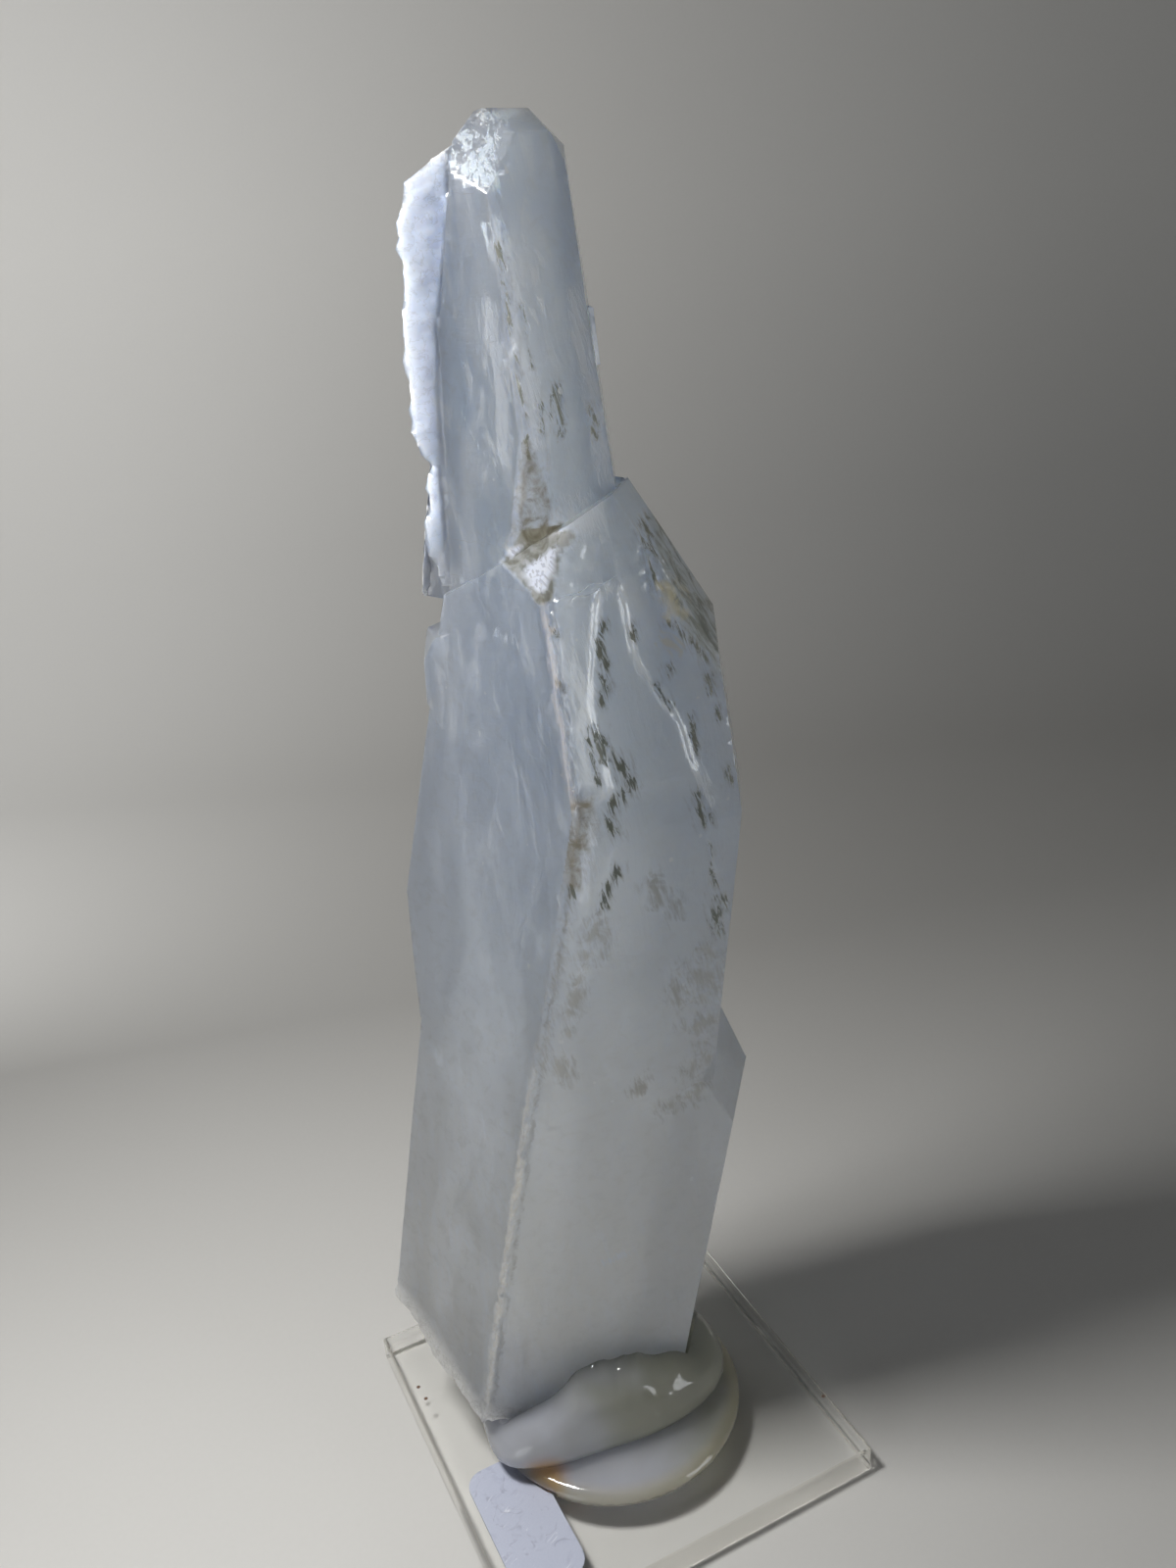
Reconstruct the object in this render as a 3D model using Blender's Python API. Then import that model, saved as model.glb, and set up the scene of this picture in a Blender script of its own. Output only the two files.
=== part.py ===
"""A tall faden quartz crystal standing on a square acrylic base.

Two blobs of clear glue hold the broken foot of the crystal: a round pad
on the base and a collar pressed around the foot.  A small paper label lies
beside the pad.  The origin is the middle of the base's underside, the front
edge of the base runs along +X, and +Z is up.  The crystal and the collar
are laid out in a frame of their own, turned about Z by SPECIMEN_TURN, in
which the broad face of the crystal looks along -Y.

A crystal face is written as (azimuth, reach, height, slope): the face looks
towards the azimuth, lies at that reach from the crystal's axis at that
height, and leans back by the slope.  Angles are in degrees.
"""

import math
import random

import bmesh
import bpy
from mathutils import Matrix, Vector

MM = 0.001
GAP = 0.3 * MM
MERGE = 0.01 * MM
ROUGH_BLOCK = 600.0 * MM

# Acrylic base
PLATE_SIDE = 40.0 * MM
PLATE_THICK = 3.0 * MM
PLATE_EDGE = 0.25 * MM

# Round pad of glue
PAD_X = -0.2 * MM
PAD_Y = -0.4 * MM
PAD_RADIUS = 13.8 * MM
PAD_RIM = 1.3 * MM
PAD_DOME = 2.2 * MM
PAD_SIDES = 56
# Rolled edge of the pad: millimetres in from its radius, and share of the rim
PAD_EDGE = (
    (0.1, 0.00),
    (-0.1, 0.25),
    (0.1, 0.60),
    (0.6, 0.90),
    (1.2, 1.02),
    (1.9, 1.00),
)
# Dome above the rim: share of the radius, and share of the rise to the middle
PAD_TOP = (
    (0.76, 0.28),
    (0.58, 0.60),
    (0.34, 0.87),
    (0.00, 1.00),
)

# Paper label
LABEL_WIDTH = 7.3 * MM
LABEL_LENGTH = 15.0 * MM
LABEL_THICK = 0.2 * MM
LABEL_CORNER = 1.9 * MM
LABEL_CORNER_STEPS = 6
RELIEF_DEPTH = 4.0
LABEL_X = -14.95 * MM
LABEL_Y = -9.7 * MM

# Frame of the crystal
SPECIMEN_TURN = math.radians(-25.0)

# Collar of glue around the foot, in the crystal's frame
COLLAR_X = -1.6 * MM
COLLAR_Y = -1.2 * MM
COLLAR_TURN = math.radians(15.0)
COLLAR_LEFT = 12.9 * MM
COLLAR_RIGHT = 14.2 * MM
COLLAR_FRONT = 8.6 * MM
COLLAR_BACK = 8.4 * MM
COLLAR_FOOT = 4.2 * MM
COLLAR_HEIGHT = 9.3 * MM
COLLAR_LEFT_HEIGHT = 5.6 * MM
COLLAR_RIGHT_HEIGHT = 7.4 * MM
COLLAR_SIDES = 48
# Squareness of the outline on either side, and fall of the crest towards them
COLLAR_SQUARE_LEFT = 4.2
COLLAR_SQUARE_RIGHT = 2.3
COLLAR_FALL_LEFT = 1.6
COLLAR_FALL_RIGHT = 2.0
# Rise of each ring as a share of the height, with its share of the width
COLLAR_BULGE = (
    (0.00, 0.80),
    (0.09, 0.93),
    (0.24, 1.00),
    (0.42, 1.00),
    (0.60, 0.94),
    (0.76, 0.83),
    (0.90, 0.65),
    (1.00, 0.40),
)

# Lower crystal: a six sided prism that leans to the right
LOWER_BASE = (-8.7, 0.5, 0.0)
LOWER_LEAN = 10.8
LOWER_FACES = {
    "front_right": (-75, 6.6, 0, 0),
    "front_left": (-135, 10.5, 5, 0.8),
    "left": (165, 16.6, 0, 0),
    "back_left": (105, 9.9, 0, 0),
    "back_right": (45, 14.0, 0, 0),
    "right": (-15, 14.8, 0, 0),
    "right_shoulder": (-37, 13.4, 44, 27),
    "right_top": (30, 13.9, 50, 28),
    "top_left": (180, 5.1, 77, 28),
    "top": (180, 5.1, 76.8, 79),
    "root": (0, 0.0, -4, -90),
}

# Broken foot: height of the fracture from left to right under the crystal
FOOT_BREAK = (
    (-26.0, 18.4),
    (-21.3, 16.3),
    (-19.5, 13.8),
    (-13.4, 9.2),
    (-8.0, 7.7),
    (16.0, 7.4),
)
FOOT_ROUGH = 0.35
FOOT_CELL = 1.7
FOOT_OPEN = -10.0
FOOT_DEPTH = 29.0
FOOT_MIDDLE = 2.5
FOOT_BLOCK = -8.0
POCKET_DROP = 0.7

# Upper crystal: grown through the top of the lower one, tapering upwards
UPPER_BASE = (1.0, 0.5, 76.0)
UPPER_FACES = {
    "front_left": (-131.2, 6.5, 0, 5.6),
    "front_right": (-74.6, 8.05, 0, 10.6),
    "front_low": (-75.3, 8.3, 0, -2.75),
    "left": (168, 14.4, 0, 14.0),
    "left_low": (176, 17.0, -16, 0),
    "right": (-6, 14.4, 0, 6.8),
    "right_low": (-6, 14.7, 0, -6.6),
    "chlorite": (-22, 11.2, 15, 29),
    "shoulder": (20, 7.9, 24, 29),
    "back_left": (105, 9.7, 0, 6),
    "back_right": (45, 12.4, 0, 5),
    "crest": (60, 3.0, 27.5, 62),
    "top_left": (171, 9.15, 18, 61),
    "notch": (-125, 4.72, 20, 32),
    "foot": (90, 0.0, -27.4, -66),
    "foot_left": (200, 12.0, -28, -40),
}

# Column: the last growth, nearly upright, with the pointed end
COLUMN_BASE = (-1.0, 2.0, 100.0)
COLUMN_FACES = {
    "front_left": (-132.4, 3.9, 0, 2.2),
    "front_right": (-73.2, 5.35, 0, 6.1),
    "front_low": (-71.5, 3.4, 0, -8.6),
    "left": (-178, 8.5, 0, 10.6),
    "right": (-3, 7.4, 0, 5.6),
    "back_left": (106, 5.2, 0, 6),
    "back_right": (48, 7.2, 0, 5),
    "point_left": (-118.4, 2.1, 26, 30),
    "point_front": (-75.6, 2.0, 28, 58.6),
    "point_side": (-11, 4.85, 26, 24),
    "point_high": (-5, 2.7, 29.1, 43),
    "point_low": (-7, 5.2, 24, 8.5),
    "point_far": (165, 3.2, 27.9, 42),
    "point_back": (95, 2.9, 28, 52),
    "foot": (0, 0, -7, -90),
}

# Thin broken fin on the column's left: reach to the left at each height
FIN_EDGE = (
    (94.3, 9.1),
    (98.3, 10.1),
    (101.9, 9.2),
    (104.3, 8.9),
    (106.7, 9.8),
    (111.3, 9.8),
    (114.6, 9.5),
    (117.8, 9.5),
    (121.9, 9.1),
    (125.2, 8.5),
)
FIN_STEP = 0.9
FIN_RAGGED = 0.4
FIN_ROOT = 2.0
FIN_ROOT_BACK = 3.1
FIN_FRONT = 2.3
FIN_BACK = 4.6
FIN_THIN = 0.7
FIN_LIFT = 3.7

# Small crystal on the left edge
SIDE_BASE = (-9.7, 4.0, 85.8)
SIDE_FACES = {
    "left": (178, 1.5, 0, 3),
    "front": (-112, 1.5, 0, 2),
    "back": (80, 1.6, 0, 0),
    "right": (0, 3.0, 0, 0),
    "top_left": (196, 1.1, 3.0, 28),
    "top": (200, 0.0, 4.3, 66),
    "foot_left": (170, 1.1, -2.6, -24),
    "foot": (190, 0.0, -4.6, -60),
}

# Shards that stand up at the shoulder and on the column's right edge:
# centre, half width, half height and turn
SHARDS = {
    "shoulder_inner": ((5.8, 2.2, 100.6), 1.4, 1.6, 10),
    "shoulder_outer": ((7.2, 2.6, 98.4), 1.4, 1.7, 40),
    "column_bump": ((4.2, 2.4, 113.9), 1.2, 1.6, 0),
}

# Raised growth layers: face that carries it, rise, and outline on the face
# (right, up) from the point where the face is set out
LAYERS = {
    "upper_inner": (
        "front_right", 0.75,
        ((-2.2, 1.6), (-2.2, 18.2), (2.0, 19.2), (1.2, 16.1), (0.4, 12.6),
         (0.1, 8.6), (0.7, 4.2), (1.2, 2.2)),
    ),
    "upper_outer": (
        "front_right", 0.4,
        ((-2.0, 2.2), (-2.0, 18.6), (3.6, 20.0), (4.0, 14.9), (4.9, 11.5),
         (7.4, 7.8), (8.2, 4.4), (8.6, 2.6)),
    ),
    "lower_inner": (
        "front_low", 0.4,
        ((-4.2, -17.0), (-2.0, -2.4), (1.0, -2.2), (0.3, -4.6), (-1.2, -8.6),
         (-2.9, -14.9)),
    ),
}
LAYER_STEP = 1.1
LAYER_RAGGED = 0.28
LAYER_SINK = 1.2


def face_plane(base, turned, face, grow=0.0):
    """Normal and a point of a crystal face, in metres."""
    azimuth, reach, height, slope = face
    angle = math.radians(azimuth)
    tilt = math.radians(slope)
    across = Vector((math.cos(angle), math.sin(angle), 0.0))
    normal = across * math.cos(tilt) + Vector((0.0, 0.0, math.sin(tilt)))
    point = across * reach * MM + Vector((0.0, 0.0, height * MM))
    normal = turned @ normal
    point = Vector(base) * MM + turned @ point
    return normal, point + normal * grow


def cut_crystal(base, faces, lean=0.0, grow=0.0):
    """Mesh of the convex body that is left inside all the faces."""
    turned = Matrix.Rotation(math.radians(lean), 3, "Y")
    bm = bmesh.new()
    bmesh.ops.create_cube(bm, size=ROUGH_BLOCK)
    for face in faces.values():
        normal, point = face_plane(base, turned, face, grow)
        cut = bmesh.ops.bisect_plane(
            bm,
            geom=bm.verts[:] + bm.edges[:] + bm.faces[:],
            dist=0.0001 * MM,
            plane_co=point,
            plane_no=normal,
            clear_outer=True,
        )
        rim = [item for item in cut["geom_cut"] if isinstance(item, bmesh.types.BMEdge)]
        if rim:
            bmesh.ops.edgeloop_fill(bm, edges=rim)
    return bm


def make_object(name, bm, parent=None):
    """Link a bmesh as an object, held by a parent where it has one."""
    bmesh.ops.recalc_face_normals(bm, faces=bm.faces[:])
    mesh = bpy.data.meshes.new(name)
    bm.to_mesh(mesh)
    bm.free()
    item = bpy.data.objects.new(name, mesh)
    bpy.context.scene.collection.objects.link(item)
    item.parent = parent
    return item


def smooth(item, angle):
    """Shade a round piece smooth, with its sharp edges kept."""
    item.data.shade_smooth()
    item.data.set_sharp_from_angle(angle=math.radians(angle))


def make_frame(name, x=0.0, y=0.0, turn=0.0, parent=None):
    """Empty that places what is parented to it."""
    frame = bpy.data.objects.new(name, None)
    bpy.context.scene.collection.objects.link(frame)
    frame.location = (x, y, 0.0)
    frame.rotation_euler = (0.0, 0.0, turn)
    frame.parent = parent
    return frame


def combine(target, tool, operation):
    """Add or cut a helper body with a Boolean, and hide the helper."""
    modifier = target.modifiers.new(tool.name, "BOOLEAN")
    modifier.operation = operation
    modifier.solver = "EXACT"
    modifier.object = tool
    tool.hide_render = True
    tool.display_type = "WIRE"


def principled(name, colour, roughness, transmission=0.0, ior=1.5):
    """Plain material with one Principled shader."""
    material = bpy.data.materials.new(name)
    material.use_nodes = True
    shader = material.node_tree.nodes["Principled BSDF"]
    shader.inputs["Base Color"].default_value = (*colour, 1.0)
    shader.inputs["Roughness"].default_value = roughness
    shader.inputs["Metallic"].default_value = 0.0
    shader.inputs["Transmission Weight"].default_value = transmission
    shader.inputs["IOR"].default_value = ior
    return material


def along(table, value):
    """Straight line reading between the rows of a small table."""
    if value <= table[0][0]:
        return table[0][1]
    for (low, first), (high, second) in zip(table, table[1:]):
        if value <= high:
            share = (value - low) / (high - low)
            return first + (second - first) * share
    return table[-1][1]


def loft(rings):
    """Closed body through rings of points, each ring with the same count."""
    bm = bmesh.new()
    loops = []
    for ring in rings:
        verts = [bm.verts.new(point) for point in ring]
        loops.append([bm.edges.new(pair) for pair in zip(verts, verts[1:] + verts[:1])])
    for lower, upper in zip(loops, loops[1:]):
        bmesh.ops.bridge_loops(bm, edges=lower + upper)
    for ends in (loops[0], loops[-1]):
        bmesh.ops.edgeloop_fill(bm, edges=ends)
    return bm


def break_block(name, frame, rough, drop, seed):
    """Block under the crystal whose top is the fractured foot."""
    noise = random.Random(seed)
    left = FOOT_BREAK[0][0]
    right = FOOT_BREAK[-1][0]
    width = right - left
    bm = bmesh.new()
    bmesh.ops.create_grid(
        bm,
        x_segments=round(width / FOOT_CELL),
        y_segments=round(FOOT_DEPTH / FOOT_CELL),
        size=0.5,
    )
    for vert in bm.verts:
        x = left + width * (vert.co.x + 0.5)
        y = FOOT_DEPTH * vert.co.y + FOOT_MIDDLE
        z = along(FOOT_BREAK, x) - drop
        if x < FOOT_OPEN:
            z += rough * noise.uniform(-1.0, 1.0)
        vert.co = Vector((x, y, z)) * MM
    bmesh.ops.triangulate(bm, faces=bm.faces[:])
    rim = [edge for edge in bm.edges if edge.is_boundary]
    skirt = bmesh.ops.extrude_edge_only(bm, edges=rim)
    for item in skirt["geom"]:
        if isinstance(item, bmesh.types.BMVert):
            item.co.z = FOOT_BLOCK * MM
    bmesh.ops.edgeloop_fill(bm, edges=[edge for edge in bm.edges if edge.is_boundary])
    return make_object(name, bm, frame)


def fin_body(frame):
    """Thin fin with a ragged broken edge on the column's left."""
    noise = random.Random(7)
    low = FIN_EDGE[0][0]
    high = FIN_EDGE[-1][0]
    count = round((high - low) / FIN_STEP)
    rings = []
    for i in range(count + 1):
        share = i / count
        z = low + (high - low) * share
        reach = along(FIN_EDGE, z) + FIN_RAGGED * noise.uniform(-1.0, 0.7)
        lift = FIN_LIFT * max(0.0, share - 0.7) / 0.3
        front = FIN_FRONT + FIN_THIN + 0.2 * noise.uniform(-1.0, 1.0)
        back = FIN_BACK - 0.2 + 0.2 * noise.uniform(-1.0, 1.0)
        rings.append([
            Vector((-FIN_ROOT, FIN_FRONT, z + lift)) * MM,
            Vector((-FIN_ROOT, FIN_ROOT_BACK, z + lift)) * MM,
            Vector((-reach, back, z)) * MM,
            Vector((-reach, front, z)) * MM,
        ])
    bm = loft(rings)
    bmesh.ops.triangulate(bm, faces=bm.faces[:])
    return make_object("fin", bm, frame)


def shard_body(name, frame, centre, half_width, half_height, turn):
    """Small six sided splinter with slanting ends."""
    faces = {}
    for i in range(6):
        reach = half_width * (0.8 + 0.2 * math.cos(2.1 * i))
        faces["side_%d" % i] = (60 * i + turn, reach, 0, 4)
    faces["top_front"] = (-100 + turn, half_width * 0.3, half_height, 38)
    faces["top_back"] = (60 + turn, half_width * 0.3, half_height, 52)
    faces["bottom"] = (0, 0, -half_height - 1.0, -90)
    return make_object(name, cut_crystal(centre, faces), frame)


def ragged_outline(corners, step, ragged, seed):
    """Outline with every side broken into short uneven steps."""
    noise = random.Random(seed)
    points = []
    for start, finish in zip(corners, corners[1:] + corners[:1]):
        run = Vector(finish) - Vector(start)
        side = Vector((run.y, -run.x)).normalized()
        count = max(1, round(run.length / step))
        for i in range(count):
            point = Vector(start) + run * (i / count)
            shift = 0.0 if i == 0 else ragged * noise.uniform(-1.0, 1.0)
            points.append(point + side * shift)
    return points


def layer_body(name, frame, face_name, rise, corners, seed):
    """Growth layer: a slab that stands a little proud of its face."""
    azimuth = math.radians(UPPER_FACES[face_name][0])
    normal, origin = face_plane(UPPER_BASE, Matrix.Identity(3), UPPER_FACES[face_name])
    right = Vector((-math.sin(azimuth), math.cos(azimuth), 0.0))
    up = normal.cross(right)
    bm = bmesh.new()
    loop = []
    for point in ragged_outline(corners, LAYER_STEP, LAYER_RAGGED, seed):
        place = origin + (right * point.x + up * point.y - normal * LAYER_SINK) * MM
        loop.append(bm.verts.new(place))
    bm.faces.new(loop)
    lifted = bmesh.ops.extrude_face_region(bm, geom=bm.faces[:])
    top = [item for item in lifted["geom"] if isinstance(item, bmesh.types.BMVert)]
    bmesh.ops.translate(bm, verts=top, vec=normal * (LAYER_SINK + rise) * MM)
    return make_object(name, bm, frame)


def build_crystal(frame):
    """The whole crystal, its growths joined into one solid."""
    lower = cut_crystal(LOWER_BASE, LOWER_FACES, LOWER_LEAN)
    crystal = make_object("faden_quartz", lower, frame)
    growths = [
        make_object("upper_crystal", cut_crystal(UPPER_BASE, UPPER_FACES), frame),
        make_object("column", cut_crystal(COLUMN_BASE, COLUMN_FACES), frame),
        make_object("side_crystal", cut_crystal(SIDE_BASE, SIDE_FACES), frame),
        fin_body(frame),
    ]
    for name, (centre, half_width, half_height, turn) in SHARDS.items():
        growths.append(shard_body(name, frame, centre, half_width, half_height, turn))
    for seed, (name, (face_name, rise, corners)) in enumerate(LAYERS.items()):
        growths.append(layer_body(name, frame, face_name, rise, corners, seed))
    for growth in growths:
        combine(crystal, growth, "UNION")
    combine(crystal, break_block("foot_break", frame, FOOT_ROUGH, 0.0, 3), "DIFFERENCE")
    crystal.data.materials.append(principled("quartz", (0.62, 0.66, 0.70), 0.3, 0.3, 1.544))


def pad_profile(grow):
    """Radius and height of the pad from its underside to its middle."""
    base = PLATE_THICK + GAP
    profile = [(0.0, base - grow)]
    for inset, share in PAD_EDGE:
        outward = grow if share < 0.9 else 0.0
        upward = grow * (2.0 * share - 1.0)
        profile.append((PAD_RADIUS - inset * MM + outward, base + share * PAD_RIM + upward))
    for share, rise in PAD_TOP:
        height = PAD_RIM + rise * (PAD_DOME - PAD_RIM)
        profile.append((PAD_RADIUS * share, base + height + grow))
    return profile


def pad_body(name, frame, grow=0.0):
    """Domed disc of glue, turned about its own axis."""
    bm = bmesh.new()
    verts = [bm.verts.new((radius, 0.0, height)) for radius, height in pad_profile(grow)]
    edges = [bm.edges.new(pair) for pair in zip(verts, verts[1:])]
    bmesh.ops.spin(
        bm,
        geom=verts + edges,
        cent=(0.0, 0.0, 0.0),
        axis=(0.0, 0.0, 1.0),
        angle=2.0 * math.pi,
        steps=PAD_SIDES,
        use_merge=True,
    )
    bmesh.ops.remove_doubles(bm, verts=bm.verts[:], dist=MERGE)
    return make_object(name, bm, frame)


def build_pad(frame, label_frame):
    """Round pad, relieved underneath where the label runs in below it."""
    pad = pad_body("glue_pad", frame)
    combine(pad, label_body("label_relief", label_frame, GAP), "DIFFERENCE")
    smooth(pad, 40)
    pad.data.materials.append(principled("pad_glue", (0.66, 0.68, 0.70), 0.12, 0.6, 1.48))


def collar_ring(rise, width):
    """One ring of the collar, squarer on the left than on the right."""
    ring = []
    for i in range(COLLAR_SIDES):
        angle = 2.0 * math.pi * i / COLLAR_SIDES
        cosine = math.cos(angle)
        sine = math.sin(angle)
        power = 2.0 / (COLLAR_SQUARE_LEFT if cosine < 0.0 else COLLAR_SQUARE_RIGHT)
        x = math.copysign(abs(cosine) ** power, cosine)
        y = math.copysign(abs(sine) ** power, sine)
        if x < 0.0:
            fall = (COLLAR_HEIGHT - COLLAR_LEFT_HEIGHT) * (-x) ** COLLAR_FALL_LEFT
            x *= width * COLLAR_LEFT
        else:
            fall = (COLLAR_HEIGHT - COLLAR_RIGHT_HEIGHT) * x ** COLLAR_FALL_RIGHT
            x *= width * COLLAR_RIGHT
        y *= width * (COLLAR_FRONT if y < 0.0 else COLLAR_BACK)
        z = COLLAR_FOOT + rise * (COLLAR_HEIGHT - fall)
        ring.append(Vector((x, y, z)))
    return ring


def build_collar(frame, collar_frame, pad_frame):
    """Cushion of glue pressed around the crystal's foot."""
    bm = loft([collar_ring(rise, width) for rise, width in COLLAR_BULGE])
    collar = make_object("glue_collar", bm, collar_frame)
    foot = cut_crystal(LOWER_BASE, LOWER_FACES, LOWER_LEAN, GAP)
    pocket = make_object("foot_pocket", foot, frame)
    floor = break_block("pocket_floor", frame, 0.0, POCKET_DROP, 3)
    combine(pocket, floor, "DIFFERENCE")
    combine(collar, pocket, "DIFFERENCE")
    combine(collar, pad_body("pad_seat", pad_frame, GAP), "DIFFERENCE")
    smooth(collar, 40)
    collar.data.materials.append(principled("collar_glue", (0.62, 0.64, 0.66), 0.15, 0.5, 1.48))


def label_body(name, frame, grow=0.0):
    """Rounded slip of paper with nothing on it."""
    half_width = LABEL_WIDTH / 2.0 + grow
    half_length = LABEL_LENGTH / 2.0 + grow
    low = PLATE_THICK + GAP - RELIEF_DEPTH * grow
    high = PLATE_THICK + GAP + LABEL_THICK + grow
    bm = bmesh.new()
    bmesh.ops.create_cube(bm, size=1.0)
    bmesh.ops.scale(bm, vec=(2.0 * half_width, 2.0 * half_length, high - low), verts=bm.verts[:])
    bmesh.ops.translate(bm, vec=(0.0, 0.0, (low + high) / 2.0), verts=bm.verts[:])
    upright = [edge for edge in bm.edges if abs(edge.verts[0].co.z - edge.verts[1].co.z) > 1e-6]
    bmesh.ops.bevel(
        bm,
        geom=upright,
        offset=LABEL_CORNER + grow,
        segments=LABEL_CORNER_STEPS,
        profile=0.5,
        affect="EDGES",
        material=-1,
    )
    return make_object(name, bm, frame)


def build_label(frame):
    """The paper label."""
    label = label_body("number_label", frame)
    label.data.materials.append(principled("label_paper", (0.74, 0.73, 0.80), 0.7))


def build_plate():
    """Square clear base with its edges just broken."""
    bm = bmesh.new()
    bmesh.ops.create_cube(bm, size=1.0)
    bmesh.ops.scale(bm, vec=(PLATE_SIDE, PLATE_SIDE, PLATE_THICK), verts=bm.verts[:])
    bmesh.ops.translate(bm, vec=(0.0, 0.0, PLATE_THICK / 2.0), verts=bm.verts[:])
    bmesh.ops.bevel(
        bm,
        geom=bm.edges[:],
        offset=PLATE_EDGE,
        segments=2,
        profile=0.5,
        affect="EDGES",
        material=-1,
    )
    plate = make_object("acrylic_plate", bm)
    plate.data.materials.append(principled("acrylic", (0.93, 0.94, 0.90), 0.04, 1.0, 1.49))


def clear_scene():
    """Remove whatever the scene starts with."""
    for item in list(bpy.data.objects):
        bpy.data.objects.remove(item, do_unlink=True)


def main():
    """Build the part."""
    clear_scene()
    specimen = make_frame("specimen_frame", turn=SPECIMEN_TURN)
    collar = make_frame("collar_frame", COLLAR_X, COLLAR_Y, COLLAR_TURN, specimen)
    pad = make_frame("pad_frame", PAD_X, PAD_Y)
    label = make_frame("label_frame", LABEL_X, LABEL_Y)
    bpy.context.view_layer.update()
    build_crystal(specimen)
    build_collar(specimen, collar, pad)
    build_pad(pad, label)
    build_plate()
    build_label(label)


if __name__ == "__main__":
    main()
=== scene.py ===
"""Finishes for a tall faden quartz crystal that stands glued to a clear square base.

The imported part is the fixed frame.  The crystal is cut into a fine lattice and worked over: the
seam along its front ridge, the crevices between the growth layers, the frosted fin and the broken
foot are modelled, and marks stored on the points of the mesh steer the quartz's colour.  The glue
is smoothed, the label is let down onto the base, and the clear base keeps its solid with a finish
of its own.

Lengths on the crystal are in millimetres in the crystal's frame, which is turned about Z by
SPECIMEN_TURN: across to the right, in depth away from the front, and up.
"""

import math

import bmesh
import bpy
import numpy as np
from bpy.props import FloatProperty, FloatVectorProperty, IntProperty, PointerProperty
from bpy.types import Operator, Panel, PropertyGroup
from mathutils import Matrix, Vector, noise


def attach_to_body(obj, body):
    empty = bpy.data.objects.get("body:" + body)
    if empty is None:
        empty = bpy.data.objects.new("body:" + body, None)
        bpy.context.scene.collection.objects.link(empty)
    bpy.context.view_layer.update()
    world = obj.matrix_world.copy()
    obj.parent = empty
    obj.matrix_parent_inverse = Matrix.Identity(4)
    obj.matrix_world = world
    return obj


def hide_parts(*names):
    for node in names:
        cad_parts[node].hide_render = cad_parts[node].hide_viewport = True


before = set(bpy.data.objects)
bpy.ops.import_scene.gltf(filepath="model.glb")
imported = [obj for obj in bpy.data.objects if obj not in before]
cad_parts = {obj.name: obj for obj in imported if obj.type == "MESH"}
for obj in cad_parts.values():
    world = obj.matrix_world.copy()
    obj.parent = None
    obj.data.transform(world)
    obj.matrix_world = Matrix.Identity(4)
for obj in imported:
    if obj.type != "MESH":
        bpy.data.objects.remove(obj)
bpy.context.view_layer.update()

bl_info = {
    "name": "Faden quartz on a clear base",
    "version": (1, 0, 0),
    "blender": (4, 5, 0),
    "location": "3D View > Sidebar > Faden quartz",
    "description": "Finishes for a quartz crystal glued to a clear square base",
    "category": "Object",
}

MM = 0.001
BODY = "root"
SPECIMEN_TURN = math.radians(-25.0)

# Ridge between the two front faces, from the foot up: across, depth, up
LOWER_RIDGE = (
    (-13.4, -7.9, 9.0),
    (-4.4, -7.7, 53.3),
    (0.7, -7.9, 77.0),
    (-0.3, -4.5, 95.0),
)
COLUMN_RIDGE = (
    (-2.6, -1.9, 98.5),
    (-0.8, -3.1, 107.4),
    (-1.4, -2.3, 112.4),
    (-1.5, -2.0, 117.2),
    (-1.9, -1.2, 124.0),
)
# The ridge's foot, the step that parts it, and where it ends; what lies far from it; the front
RIDGE_FOOT = 8.8
STEP_LOW = 95.3
COLUMN_LOW = 98.2
RIDGE_TOP = 124.3
NO_RIDGE = 9.0
FRONT_DEPTH = 3.0

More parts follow.
